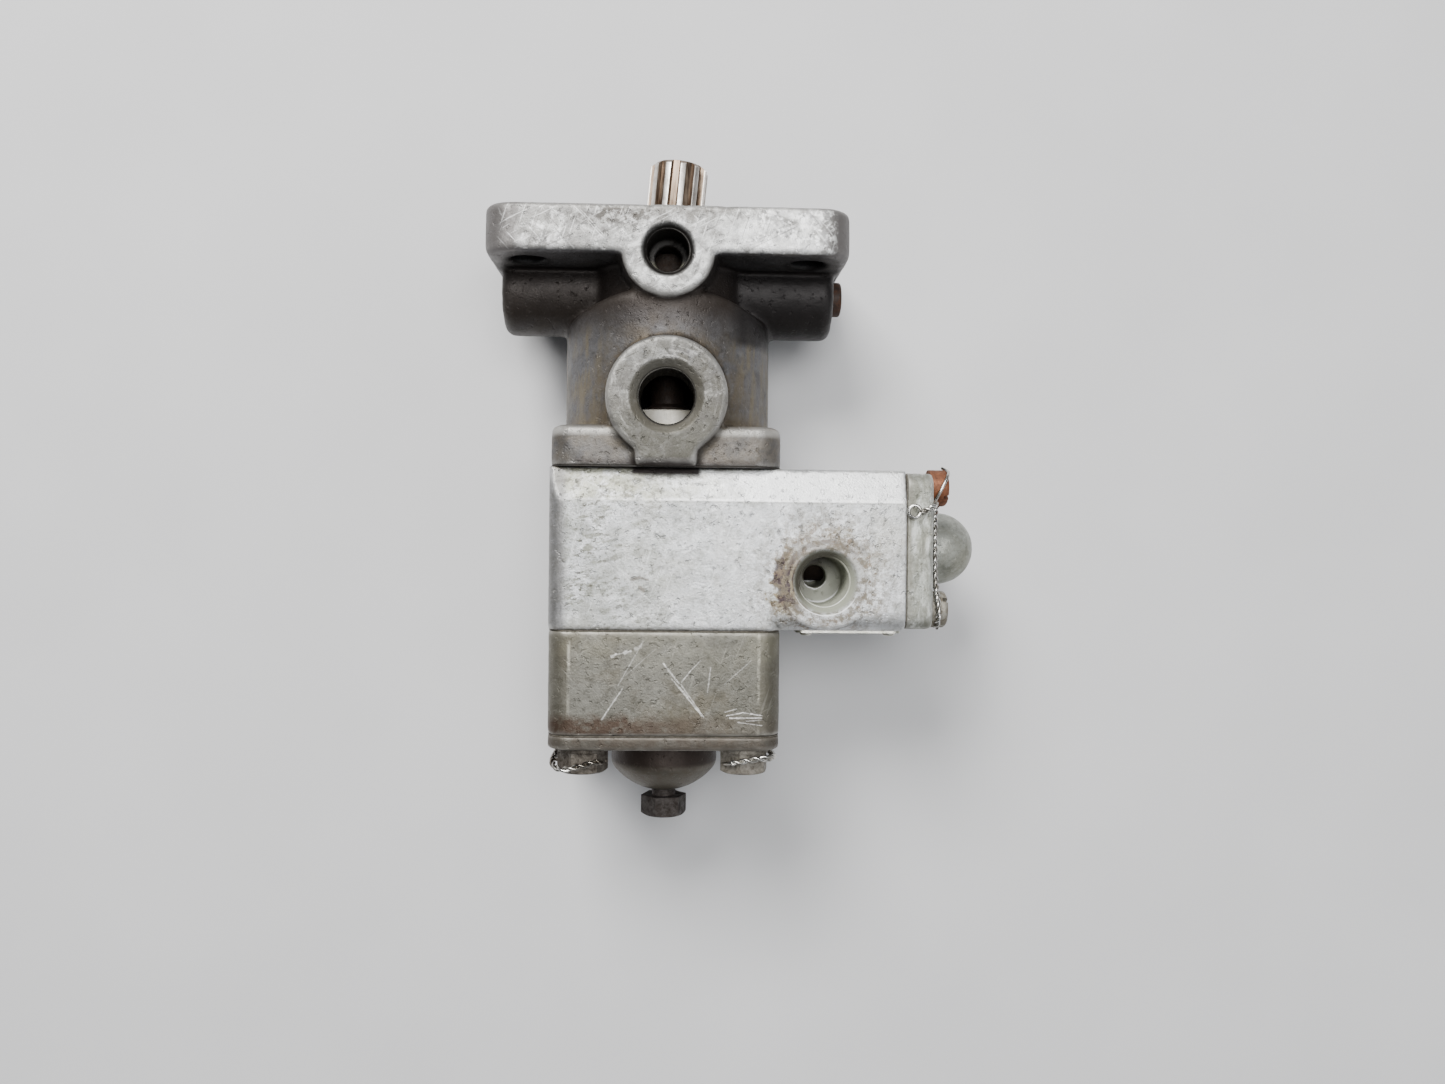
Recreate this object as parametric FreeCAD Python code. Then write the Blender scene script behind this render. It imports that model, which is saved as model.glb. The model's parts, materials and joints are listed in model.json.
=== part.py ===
"""Flange-mounted rotary pump with a side regulator valve and a bottom relief valve.

Millimetres. The pump lies on its back: +Y runs up the drive shaft towards the spline, +X points
towards the regulator arm and +Z faces away from the rest surface. The origin is where the shaft
axis crosses the mounting face.
"""
import FreeCAD, Part
import math
import os

from FreeCAD import Vector

X_AXIS = Vector(1, 0, 0)
Y_AXIS = Vector(0, 1, 0)
Z_AXIS = Vector(0, 0, 1)
ORIGIN = Vector(0, 0, 0)

# ---- castings, from the mounting face downwards (Y values are along the shaft) ----
HALF_DEPTH = 29.0            # half of the square stack, front to back
FLANGE_WIDTH = 92.0
FLANGE_THICK = 12.2
FLANGE_CORNER = 8.0
MOUNT_SPACING_X = 71.0
MOUNT_SPACING_Z = 36.6
MOUNT_HOLE_R = 4.35
NECK_R = 21.0
BODY_R = 27.2
BODY_TOP_Y = -19.4
BODY_CROWN_R = 54.0          # the shoulder of the round body is crowned from side to side
BODY_RIM_ROUND = 2.5
SIDE_BOSS_Y = -17.0
SIDE_BOSS_END_X = 43.8
SIDE_BOSS_R = 11.2
SIDE_BOSS_ROUND = 2.6
DRAIN_Y = -11.2
DRAIN_BOSS_R = 11.6
DRAIN_BOSS_ROOT_R = 13.8
DRAIN_BOSS_ROUND = 1.2
INLET_Y = -47.7
INLET_FACE_Z = 32.0
INLET_BOSS_R = 15.15
INLET_BOSS_ROUND = 0.9
INLET_FOOT_HALF = 7.7         # the foot is a short tab below the boss, down to the joint
INLET_FOOT_ROUND = 1.8
INLET_FOOT_FILLET = 1.6
COLLAR_TOP_Y = -54.5
COLLAR_BOTTOM_Y = -64.7
COLLAR_HALF = 28.8
COLLAR_CORNER = 6.5
GASKET = 0.25
GASKET_INSET = 0.15
BLOCK_TOP_Y = COLLAR_BOTTOM_Y - GASKET
BLOCK_BOTTOM_Y = -105.4
BLOCK_CORNER = 4.0
BEVEL_TALL = 8.3             # bevel along the top front edge of the pump block
BEVEL_DEEP = 2.6
ARM_END_X = 60.1
ARM_EDGE_ROUND = 4.5
RELIEF_TOP_Y = BLOCK_BOTTOM_Y - GASKET
RELIEF_BOTTOM_Y = -131.5
RELIEF_CORNER = 5.5
COVER_TOP_Y = RELIEF_BOTTOM_Y - GASKET
COVER_BOTTOM_Y = -135.2
COVER_CORNER = 6.0
COVER_EDGE_ROUND = 0.8

# ---- ports ----
SMALL_PORT_R = 5.5           # quarter-inch taper pipe thread
SMALL_PORT_MOUTH_R = 6.85
SMALL_PORT_DEEP = 11.0
DRAIN_DRILL_R = 3.0
FRONT_DRILL_R = 3.4
PORT_CHAMFER = 1.4
INLET_PORT_R = 7.1           # three-eighths taper pipe thread
INLET_MOUTH_R = 9.2
INLET_CHAMFER = 2.0
OUTLET_X = 39.9
OUTLET_Y = -93.0
OUTLET_R = 6.5               # nine-sixteenths straight thread boss
OUTLET_MOUTH_R = 8.2
OUTLET_CHAMFER = 2.6
OUTLET_DEEP = 18.0
OUTLET_BOSS_R = 12.0
OUTLET_DRILL_R = 2.95
OUTLET_DRILL_X = OUTLET_X - 0.7      # the drilling meets the port floor off centre
OUTLET_DRILL_Y = OUTLET_Y + 0.9

# ---- bores and chambers inside ----
SEAL_BORE_R = 16.0
SEAL_BORE_END_Y = -31.0
LIP_R = 12.0
CHAMBER_TOP_Y = -33.0
CHAMBER_R = 17.5
PUMP_BORE_R = 21.5
PLATE_FLANGE_BOTTOM_Y = -70.0
ROTOR_BOTTOM_Y = -86.0
LOWER_PLATE_BOTTOM_Y = -94.0
DISCHARGE_R = 15.0
RETURN_R = 1.8               # drilled return passage from the relief valve to the inlet side
RETURN_Z = -25.2
RETURN_SLOT_DEEP = 3.0
RETURN_TURN_Y = -115.5
RETURN_END_Y = -117.0
FEED_Y = -99.5               # level of the drilling from the discharge chamber to the arm
FEED_X = 34.0
KIDNEY_FLOOR_Y = -62.0

# ---- rotating parts ----
SHAFT_TOP_Y = -3.5
SHAFT_HEAD_R = 10.0
SHAFT_SHOULDER_R = 11.3
SHAFT_SHOULDER_TOP_Y = -31.1
SHAFT_SHOULDER_BOTTOM_Y = -32.5
SHAFT_NECK_R = 4.5
SHAFT_NECK_BOTTOM_Y = -46.5
SHAFT_JOURNAL_R = 6.0
SHAFT_END_Y = -96.5
SOCKET_R = 6.8
SOCKET_BOTTOM_Y = -19.0
RUNNING_GAP = 0.05
AXIAL_GAP = 0.05
CONTACT_GAP = 0.02           # between a spring or screw and the part it presses on
BUSH_R = 8.5
KEY_WIDE = 3.0
KEY_HALF_TALL = 1.5

# ---- splined coupling, rocking on a cross pin in the shaft socket ----
COUPLING_TIP_Y = 18.2
COUPLING_LEAN_DEG = 5.3
COUPLING_PIVOT_Y = -10.0
SPLINE_TEETH = 12
SPLINE_FIRST_TOOTH_DEG = 81.4
SPLINE_TIP_R = 7.83
SPLINE_ROOT_R = 6.6
SPLINE_ROOT_HALF_DEG = 8.0   # half angle of a tooth at its root
SPLINE_TIP_HALF_DEG = 5.2    # half angle of a tooth at its tip
SPLINE_BOTTOM_Y = -0.8
SPLINE_TIP_CHAMFER = 1.3
COUPLING_NECK_R = 4.4
COUPLING_HEAD_TOP_Y = -5.6
COUPLING_HEAD_BOTTOM_Y = -15.5
COUPLING_HEAD_R = 6.0
COUPLING_PIN_R = 1.5          # cross pin that drives the coupling and lets it rock
COUPLING_PIN_HALF = 9.7

# ---- gerotor pair ----
OUTER_LOBES = 7
LOBE_CENTRE_R = 16.0
LOBE_R = 5.0
ECCENTRICITY = 1.4
LOBE_GAP = 0.06
OUTER_ROTOR_R = 18.0
RING_R = 21.4
SET_PIN_X = -19.0
SET_PIN_R = 1.25
KIDNEY_IN_R = 9.6
KIDNEY_OUT_R = 13.6
KIDNEY_START_DEG = 22.0
UPPER_HUB_R = 13.75
UPPER_HUB_TOP_Y = -49.0

# ---- ball bearing 20 x 32 x 7 ----
BEARING_TOP_Y = -24.0
BEARING_WIDE = 7.0
BALL_CENTRE_R = 13.0
BALL_R = 1.75
BALL_GAP = 0.05
BALL_COUNT = 12
RACE_IN_R = 12.0
RACE_OUT_R = 14.0
CAGE_HALF_THICK = 0.55
CAGE_WIDE = 4.6

# ---- shaft seal and its retaining ring ----
SEAL_TOP_Y = -2.4
SEAL_TALL = 5.4
SEAL_CASE_THICK = 0.8
SEAL_LIP_R = 10.05
RING_TOP_Y = -1.1
RING_THICK = 1.1
RING_GROOVE_R = 17.0
RING_IN_R = 13.9
RING_GAP_DEG = 34.0
RING_LUG_R = 2.0

# ---- through bolts, quarter inch, drilled hex heads ----
BOLT_AT = 20.4
BOLT_R = 3.175
BOLT_HOLE_R = 3.35
BOLT_TOP_Y = -57.6
WASHER_THICK = 1.2
WASHER_R = 6.4
HEAD_TALL = 5.2
HEAD_ACROSS_FLATS = 11.1
WIRE_HOLE_R = 0.8
HEAD_TURNS_DEG = (20, -12, 8, 27)   # each head stopped at its own angle

# ---- regulator valve in the arm, along X ----
REGULATOR_Y = -84.5
REGULATOR_BORE_R = 9.0
REGULATOR_BORE_END_X = 27.5
SLEEVE_IN_R = 6.5
SLEEVE_OUT_X = 57.0
PISTON_IN_X = 30.5
PISTON_OUT_X = 50.0
PISTON_POCKET_R = 4.4
WAIST_IN_X = 36.5
WAIST_OUT_X = 42.2
WAIST_R = 3.6
WAIST_SLOPE = 0.7
SLEEVE_PORT_R = 2.4
SIDE_GASKET_X = 60.1
SIDE_COVER_X = 60.35
SIDE_COVER_OUT_X = 67.0
SIDE_COVER_INSET = 0.6
SIDE_DOME_R = 9.7
SIDE_DOME_CENTRE_X = 73.8
SIDE_DOME_CAVITY_R = 7.2
SIDE_DOME_CAVITY_X = 76.0
SIDE_SEAT_THICK = 1.5
SIDE_SCREW_Y = 15.5
SIDE_SCREW_Z = 20.0
SIDE_SCREW_HEAD_R = 4.65
SIDE_SCREW_HEAD_TALL = 4.8
SIDE_SCREW_R = 2.4
SIDE_SCREW_IN_X = 49.0
SLOT_WIDE = 1.2
SLOT_DEEP = 1.5

# ---- relief valve, along Y ----
RELIEF_BORE_R = 11.0
RELIEF_INLET_R = 5.5
SEAT_TOP_Y = -108.5
SEAT_BOTTOM_Y = -113.5
SEAT_IN_R = 5.5
POPPET_R = 10.9
POPPET_BOTTOM_Y = -121.0
POPPET_POCKET_R = 9.0
POPPET_FACE_THICK = 2.5
DOME_R = 14.2
DOME_STRAIGHT_Y = -143.0
DOME_TIP_Y = -150.4
DOME_CAVITY_R = 11.0
DOME_CAVITY_Y = -144.5
BUTTON_TOP_Y = -136.0
BUTTON_THICK = 3.0
BUTTON_R = 9.4
SCREW_R = 3.175
SCREW_HEAD_TOP_Y = -151.8
SCREW_HEAD_BOTTOM_Y = -157.1
SCREW_HEAD_ACROSS_FLATS = 10.7
SCREW_HEAD_TURN_DEG = 10

ARM_TOP_ROUND = 1.2
DOME_SHOULDER_ROUND = 2.4
SIDE_COVER_CORNER = 3.4
SIDE_COVER_ROUND = 0.7
SIDE_GASKET_CORNER = 3.2
SIDE_HEAD_ROUND = 1.1
SLOT_TURN_DEG = 35           # the slots of the two side screws were left pointing different ways
PLUG_END_ROUND = 0.7
RIVET_HEAD_ROUND = 0.6
PORT_PLATE_RIM_ROUND = 0.4
PACKING_Y = -147.0
PACKING_WIRE_R = 0.9

# ---- springs ----
REGULATOR_SPRING_R = 3.5
REGULATOR_SPRING_WIRE_R = 0.7
REGULATOR_SPRING_TURNS = 9
RELIEF_SPRING_R = 7.6
RELIEF_SPRING_WIRE_R = 0.9
RELIEF_SPRING_TURNS = 6

# ---- small things ----
DOWEL_AT_X = 25.2
DOWEL_R = 1.5
DOWEL_HALF_LONG = 4.0
PLUG_RIGHT_PROUD = 2.8
PLUG_LEFT_SUNK = 0.6
PLUG_LONG = 9.0
PLUG_NOSE_R = 4.6
PLUG_KEY_ACROSS_FLATS = 6.35
PLUG_KEY_DEEP = 5.0
PLATE_THICK = 0.6
PLATE_X = (33.2, 59.6)
PLATE_Z = (-23.0, 24.0)
RIVET_HEAD_R = 1.5
RIVET_HEAD_TALL = 0.8
RIVET_R = 0.8
RIVET_LONG = 2.2
RIVET_INSET = 2.6
WIRE_R = 0.55                # a twisted pair of safety wire, as one round strand
WIRE_BEND_R = 1.6


def rod_x(start, end, radius, y=0.0, z=0.0):
    """A round bar along X."""
    return Part.makeCylinder(radius, abs(end - start), Vector(min(start, end), y, z), X_AXIS)


def rod_y(start, end, radius, x=0.0, z=0.0):
    """A round bar along Y."""
    return Part.makeCylinder(radius, abs(end - start), Vector(x, min(start, end), z), Y_AXIS)


def rod_z(start, end, radius, x=0.0, y=0.0):
    """A round bar along Z."""
    return Part.makeCylinder(radius, abs(end - start), Vector(x, y, min(start, end)), Z_AXIS)


def box(x_range, y_range, z_range):
    """A box between three pairs of limits."""
    low = [min(pair) for pair in (x_range, y_range, z_range)]
    size = [abs(pair[1] - pair[0]) for pair in (x_range, y_range, z_range)]
    return Part.makeBox(size[0], size[1], size[2], Vector(*low))


def edges_along(shape, axis):
    """The straight edges of a shape that run along an axis."""
    picked = []
    for edge in shape.Edges:
        if isinstance(edge.Curve, Part.Line) and abs(edge.tangentAt(edge.FirstParameter).dot(axis)) > 0.999:
            picked.append(edge)
    return picked


def edges_at(shape, axis, level, slack=0.01):
    """The edges that lie wholly in the plane at one level of an axis."""
    picked = []
    for edge in shape.Edges:
        spots = [edge.valueAt(edge.FirstParameter), edge.valueAt(edge.LastParameter), edge.CenterOfMass]
        if all(abs(spot.dot(axis) - level) < slack for spot in spots):
            picked.append(edge)
    return picked


def slab_y(x_range, y_range, z_range, corner, top_round=0.0, bottom_round=0.0):
    """A block whose four edges along Y are rounded, and whose end outlines may be too."""
    solid = box(x_range, y_range, z_range)
    solid = solid.makeFillet(corner, edges_along(solid, Y_AXIS))
    if top_round:
        solid = solid.makeFillet(top_round, edges_at(solid, Y_AXIS, max(y_range)))
    if bottom_round:
        solid = solid.makeFillet(bottom_round, edges_at(solid, Y_AXIS, min(y_range)))
    return solid


def turned_y(outline, x=0.0, z=0.0):
    """A solid turned about a line along Y from its (radius, y) outline."""
    points = [Vector(x + radius, y, z) for radius, y in outline]
    face = Part.Face(Part.makePolygon(points + points[:1]))
    return face.revolve(Vector(x, 0, z), Y_AXIS, 360)


def turned_x(outline, y, z):
    """A solid turned about a line along X from its (radius, x) outline."""
    points = [Vector(x, y + radius, z) for radius, x in outline]
    face = Part.Face(Part.makePolygon(points + points[:1]))
    return face.revolve(Vector(0, y, z), X_AXIS, 360)


def ring_y(start, end, inner, outer):
    """A plain ring round the shaft axis."""
    return rod_y(start, end, outer).cut(rod_y(start, end, inner))


def cut_all(solid, tools):
    """The solid less every tool."""
    for tool in tools:
        solid = solid.cut(tool)
    return solid


def joined(solids):
    """One solid from several that meet."""
    whole = solids[0]
    for solid in solids[1:]:
        whole = whole.fuse(solid)
    return whole.removeSplitter()


def hexagon_y(start, end, across_flats, x, z):
    """A hexagonal bar along Y, with two flats facing +Z and -Z."""
    corner_r = across_flats / math.sqrt(3)
    points = []
    for side in range(6):
        angle = math.radians(60 * side)
        points.append(Vector(x + corner_r * math.cos(angle), min(start, end), z + corner_r * math.sin(angle)))
    face = Part.Face(Part.makePolygon(points + points[:1]))
    return face.extrude(Vector(0, abs(end - start), 0))


def hex_head_down(top, bottom, across_flats, x, z):
    """A bolt head that faces -Y, its outer corners turned off."""
    corner_r = across_flats / math.sqrt(3)
    face_r = across_flats / 2 - 0.2
    drop = (corner_r - face_r) * math.tan(math.radians(30))
    cone = turned_y(
        [(0, top), (corner_r, top), (corner_r, bottom + drop), (face_r, bottom), (0, bottom)], x, z
    )
    return hexagon_y(top, bottom, across_flats, x, z).common(cone)


def helix_spring(start, end, coil_r, wire_r, turns):
    """An open coil spring along +Y between two levels, its wire inside both."""
    length = end - start - 2 * wire_r
    path = Part.makeHelix(length / turns, length, coil_r)
    section = Part.Wire(Part.Edge(Part.Circle(Vector(coil_r, 0, 0), Y_AXIS, wire_r)))
    coil = Part.Wire(path).makePipeShell([section], True, True)
    coil.rotate(ORIGIN, X_AXIS, -90)
    coil.translate(Vector(0, start + wire_r, 0))
    return coil


def bent_wire(points, bends, wire_r):
    """A round wire through the points, with an arc of the given radius at each inner one."""
    edges = []
    last = points[0]
    for before, corner, after, bend_r in zip(points, points[1:], points[2:], bends):
        into = (corner - before).normalize()
        away = (after - corner).normalize()
        turn = into.getAngle(away)
        setback = bend_r * math.tan(turn / 2)
        arc_start = corner - into * setback
        arc_end = corner + away * setback
        inward = (away - into).normalize()
        arc_middle = corner + inward * (bend_r / math.cos(turn / 2) - bend_r)
        edges.append(Part.LineSegment(last, arc_start).toShape())
        edges.append(Part.Arc(arc_start, arc_middle, arc_end).toShape())
        last = arc_end
    edges.append(Part.LineSegment(last, points[-1]).toShape())
    heading = (points[1] - points[0]).normalize()
    section = Part.Wire(Part.Edge(Part.Circle(points[0], heading, wire_r)))
    return Part.Wire(edges).makePipeShell([section], True, False)


def four_corners(at_x, at_z):
    """The four (x, z) places of a rectangular pattern."""
    return [(sx * at_x, sz * at_z) for sx in (1, -1) for sz in (1, -1)]


def bolt_holes(top, bottom, radius):
    """The four through bolt holes between two levels."""
    return [rod_y(top, bottom, radius, x, z) for x, z in four_corners(BOLT_AT, BOLT_AT)]


def dowel_holes(level):
    """The two dowel holes across the joint at one level."""
    return [
        rod_y(level - DOWEL_HALF_LONG, level + DOWEL_HALF_LONG, DOWEL_R, x) for x in (DOWEL_AT_X, -DOWEL_AT_X)
    ]


def port_z(x, y, face_z, radius, mouth_r, chamfer, deep):
    """A port bored along -Z from a face, with a chamfered mouth."""
    bore = rod_z(face_z - deep, face_z + 1, radius, x, y)
    mouth = Part.makeCone(radius, mouth_r, chamfer, Vector(x, y, face_z - chamfer), Z_AXIS)
    return bore.fuse(mouth)


def port_x(side, y, face_x, radius, mouth_r, chamfer, deep):
    """A port bored inwards along X from the right (side 1) or left (side -1) face."""
    inward = Vector(-side, 0, 0)
    bore = Part.makeCylinder(radius, deep, Vector(side * face_x, y, 0), inward)
    mouth = Part.makeCone(mouth_r, radius, chamfer, Vector(side * face_x, y, 0), inward)
    return bore.fuse(mouth)


# ---- castings ----

def round_body():
    """The round body, its top shoulder crowned from side to side and rounded at the rim."""
    tall = BODY_TOP_Y - COLLAR_TOP_Y + 1
    quarter = Part.makeCylinder(BODY_R, tall, Vector(0, COLLAR_TOP_Y - 1, 0), Y_AXIS, 90)
    quarter = quarter.common(rod_z(-40, 40, BODY_CROWN_R, 0, BODY_TOP_Y - BODY_CROWN_R))
    rim = [edge for edge in quarter.Edges if not isinstance(edge.Curve, (Part.Line, Part.Circle))]
    quarter = quarter.makeFillet(BODY_RIM_ROUND, rim)
    half = quarter.fuse(quarter.mirror(ORIGIN, X_AXIS))
    return half.fuse(half.mirror(ORIGIN, Z_AXIS)).removeSplitter()


def inlet_front():
    """The inlet boss with the short tab that carries its face down to the joint."""
    boss = rod_z(0, INLET_FACE_Z, INLET_BOSS_R, 0, INLET_Y)
    foot = box((-INLET_FOOT_HALF, INLET_FOOT_HALF), (COLLAR_BOTTOM_Y, INLET_Y), (0, INLET_FACE_Z))
    front = joined([boss, foot])
    meet_y = INLET_Y - math.sqrt(INLET_BOSS_R ** 2 - INLET_FOOT_HALF ** 2)
    inner = [edge for edge in edges_along(front, Z_AXIS) if abs(edge.CenterOfMass.y - meet_y) < 0.01]
    front = front.makeFillet(INLET_FOOT_FILLET, inner)
    face_edges = edges_at(front, Z_AXIS, INLET_FACE_Z)
    lower = [edge for edge in face_edges if edge.CenterOfMass.y < COLLAR_BOTTOM_Y + 0.01]
    front = front.makeFillet(INLET_FOOT_ROUND, lower)
    rim = [edge for edge in edges_at(front, Z_AXIS, INLET_FACE_Z) if edge.Length > 2 * INLET_FOOT_ROUND]
    rim = [edge for edge in rim if edge.CenterOfMass.y > COLLAR_BOTTOM_Y + 2 * INLET_FOOT_ROUND]
    return front.makeFillet(INLET_BOSS_ROUND, rim)


def drive_housing():
    """Upper casting: flange, neck, drain bosses, round body, inlet boss and square collar."""
    flange = slab_y(
        (-FLANGE_WIDTH / 2, FLANGE_WIDTH / 2), (-FLANGE_THICK, 0), (-HALF_DEPTH, HALF_DEPTH),
        FLANGE_CORNER, 1.0, 1.6,
    )
    side_bosses = rod_x(-SIDE_BOSS_END_X, SIDE_BOSS_END_X, SIDE_BOSS_R, SIDE_BOSS_Y)
    ends = edges_at(side_bosses, X_AXIS, SIDE_BOSS_END_X) + edges_at(side_bosses, X_AXIS, -SIDE_BOSS_END_X)
    side_bosses = side_bosses.makeFillet(SIDE_BOSS_ROUND, ends)
    drain_boss = Part.makeCone(
        DRAIN_BOSS_ROOT_R, DRAIN_BOSS_R, HALF_DEPTH, Vector(0, DRAIN_Y, 0), Z_AXIS
    )
    drain_boss = drain_boss.makeFillet(DRAIN_BOSS_ROUND, edges_at(drain_boss, Z_AXIS, HALF_DEPTH))
    drain_boss = drain_boss.common(box((-20, 20), (-40, 0), (0, HALF_DEPTH)))
    collar = slab_y(
        (-COLLAR_HALF, COLLAR_HALF), (COLLAR_BOTTOM_Y, COLLAR_TOP_Y), (-HALF_DEPTH, HALF_DEPTH),
        COLLAR_CORNER, 2.0,
    )
    neck = rod_y(-FLANGE_THICK + 1, BODY_TOP_Y - 6, NECK_R)
    casting = joined([flange, neck, round_body(), side_bosses, drain_boss, collar, inlet_front()])

    hollows = [
        rod_y(SEAL_BORE_END_Y, 1, SEAL_BORE_R),
        rod_y(RING_TOP_Y - RING_THICK - 0.1, RING_TOP_Y + 0.1, RING_GROOVE_R),
        rod_y(CHAMBER_TOP_Y - 1, SEAL_BORE_END_Y + 1, LIP_R),
        rod_y(COLLAR_BOTTOM_Y - 1, CHAMBER_TOP_Y, CHAMBER_R),
        port_z(0, DRAIN_Y, HALF_DEPTH, SMALL_PORT_R, SMALL_PORT_MOUTH_R, PORT_CHAMFER, SMALL_PORT_DEEP),
        rod_z(0, HALF_DEPTH - 2, FRONT_DRILL_R, 0, DRAIN_Y),
        port_z(0, INLET_Y, INLET_FACE_Z, INLET_PORT_R, INLET_MOUTH_R, INLET_CHAMFER, INLET_FACE_Z),
        rod_x(-SIDE_BOSS_END_X + 2, SIDE_BOSS_END_X - 2, DRAIN_DRILL_R, SIDE_BOSS_Y),
        box((-RETURN_R, RETURN_R), (COLLAR_BOTTOM_Y - 1, COLLAR_BOTTOM_Y + RETURN_SLOT_DEEP),
            (RETURN_Z - RETURN_R, 0)),
    ]
    for side in (1, -1):
        hollows.append(port_x(
            side, SIDE_BOSS_Y, SIDE_BOSS_END_X,
            SMALL_PORT_R, SMALL_PORT_MOUTH_R, PORT_CHAMFER, SMALL_PORT_DEEP,
        ))
    for x, z in four_corners(MOUNT_SPACING_X / 2, MOUNT_SPACING_Z / 2):
        hollows.append(rod_y(-FLANGE_THICK - 1, 1, MOUNT_HOLE_R, x, z))
    hollows += bolt_holes(BOLT_TOP_Y + 0.6, COLLAR_BOTTOM_Y - 1, BOLT_R)
    hollows += dowel_holes(COLLAR_BOTTOM_Y)
    return cut_all(casting, hollows)


def bevel_cutter():
    """The wedge that bevels the top front edge of the pump block over its whole length."""
    out = 4.0
    slope = BEVEL_DEEP / BEVEL_TALL
    points = [
        Vector(-HALF_DEPTH - out, BLOCK_TOP_Y - BEVEL_TALL, HALF_DEPTH),
        Vector(-HALF_DEPTH - out, BLOCK_TOP_Y + out, HALF_DEPTH - slope * (BEVEL_TALL + out)),
        Vector(-HALF_DEPTH - out, BLOCK_TOP_Y + out, HALF_DEPTH + out),
        Vector(-HALF_DEPTH - out, BLOCK_TOP_Y - BEVEL_TALL, HALF_DEPTH + out),
    ]
    face = Part.Face(Part.makePolygon(points + points[:1]))
    return face.extrude(Vector(ARM_END_X + HALF_DEPTH + 2 * out, 0, 0))


def regulator_screw_holes(start, end, radius):
    """The four side cover screw holes between two X levels."""
    return [
        rod_x(start, end, radius, REGULATOR_Y + y, z) for y, z in four_corners(SIDE_SCREW_Y, SIDE_SCREW_Z)
    ]


def rivet_places():
    """The four (x, z) places of the data plate's rivets."""
    return [
        (x, z)
        for x in (PLATE_X[0] + RIVET_INSET, PLATE_X[1] - RIVET_INSET)
        for z in (PLATE_Z[0] + RIVET_INSET, PLATE_Z[1] - RIVET_INSET)
    ]


def pump_block():
    """Middle casting: the pumping chamber and the regulator arm with the outlet port."""
    square = slab_y(
        (-HALF_DEPTH, HALF_DEPTH), (BLOCK_BOTTOM_Y, BLOCK_TOP_Y), (-HALF_DEPTH, HALF_DEPTH), BLOCK_CORNER
    )
    arm = box((0, ARM_END_X), (BLOCK_BOTTOM_Y, BLOCK_TOP_Y), (-HALF_DEPTH, HALF_DEPTH))
    arm_bottom = [
        edge for edge in edges_along(arm, X_AXIS) if abs(edge.CenterOfMass.y - BLOCK_BOTTOM_Y) < 0.01
    ]
    arm = arm.makeFillet(ARM_EDGE_ROUND, arm_bottom)
    arm_top = [edge for edge in edges_along(arm, X_AXIS) if abs(edge.CenterOfMass.y - BLOCK_TOP_Y) < 0.01]
    arm = arm.makeFillet(ARM_TOP_ROUND, arm_top)
    outlet_boss = rod_z(0, HALF_DEPTH, OUTLET_BOSS_R, OUTLET_X, OUTLET_Y)
    casting = joined([square, arm]).cut(bevel_cutter())
    outlet_boss = outlet_boss.common(
        box((0, ARM_END_X), (BLOCK_BOTTOM_Y - 0.4, BLOCK_TOP_Y), (0, HALF_DEPTH))
    )
    casting = joined([casting, outlet_boss])

    hollows = [
        rod_y(LOWER_PLATE_BOTTOM_Y, BLOCK_TOP_Y + 1, PUMP_BORE_R),
        rod_y(BLOCK_BOTTOM_Y - 1, LOWER_PLATE_BOTTOM_Y + 1, DISCHARGE_R),
        port_z(OUTLET_X, OUTLET_Y, HALF_DEPTH, OUTLET_R, OUTLET_MOUTH_R, OUTLET_CHAMFER, OUTLET_DEEP),
        rod_z(-3, HALF_DEPTH - OUTLET_DEEP + 1, OUTLET_DRILL_R, OUTLET_DRILL_X, OUTLET_DRILL_Y),
        rod_x(REGULATOR_BORE_END_X, ARM_END_X + 1, REGULATOR_BORE_R, REGULATOR_Y),
        rod_x(DISCHARGE_R - 2, OUTLET_X, DRAIN_DRILL_R, FEED_Y),
        rod_y(FEED_Y, REGULATOR_Y, DRAIN_DRILL_R, FEED_X),
        rod_y(BLOCK_BOTTOM_Y - 1, BLOCK_TOP_Y + 1, RETURN_R, 0, RETURN_Z),
    ]
    hollows += bolt_holes(BLOCK_TOP_Y + 1, BLOCK_BOTTOM_Y - 1, BOLT_HOLE_R)
    hollows += dowel_holes(BLOCK_TOP_Y) + dowel_holes(BLOCK_BOTTOM_Y)
    hollows += regulator_screw_holes(SIDE_SCREW_IN_X - 1, ARM_END_X + 1, SIDE_SCREW_R)
    for x, z in rivet_places():
        hollows.append(rod_y(BLOCK_BOTTOM_Y - 1, BLOCK_BOTTOM_Y + RIVET_LONG + 0.2, RIVET_R, x, z))
    return cut_all(casting, hollows)


def relief_housing():
    """Lower square block that holds the relief valve."""
    block = slab_y(
        (-HALF_DEPTH, HALF_DEPTH), (RELIEF_BOTTOM_Y, RELIEF_TOP_Y), (-HALF_DEPTH, HALF_DEPTH), RELIEF_CORNER
    )
    hollows = [
        rod_y(RELIEF_TOP_Y + 1, SEAT_TOP_Y - 1, RELIEF_INLET_R),
        rod_y(SEAT_TOP_Y, RELIEF_BOTTOM_Y - 1, RELIEF_BORE_R),
        rod_y(RELIEF_TOP_Y + 1, RETURN_END_Y, RETURN_R, 0, RETURN_Z),
        rod_z(RETURN_Z, 0, RETURN_R, 0, RETURN_TURN_Y),
    ]
    hollows += bolt_holes(RELIEF_TOP_Y + 1, RELIEF_BOTTOM_Y - 1, BOLT_HOLE_R)
    hollows += dowel_holes(RELIEF_TOP_Y)
    return cut_all(block, hollows)


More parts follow.
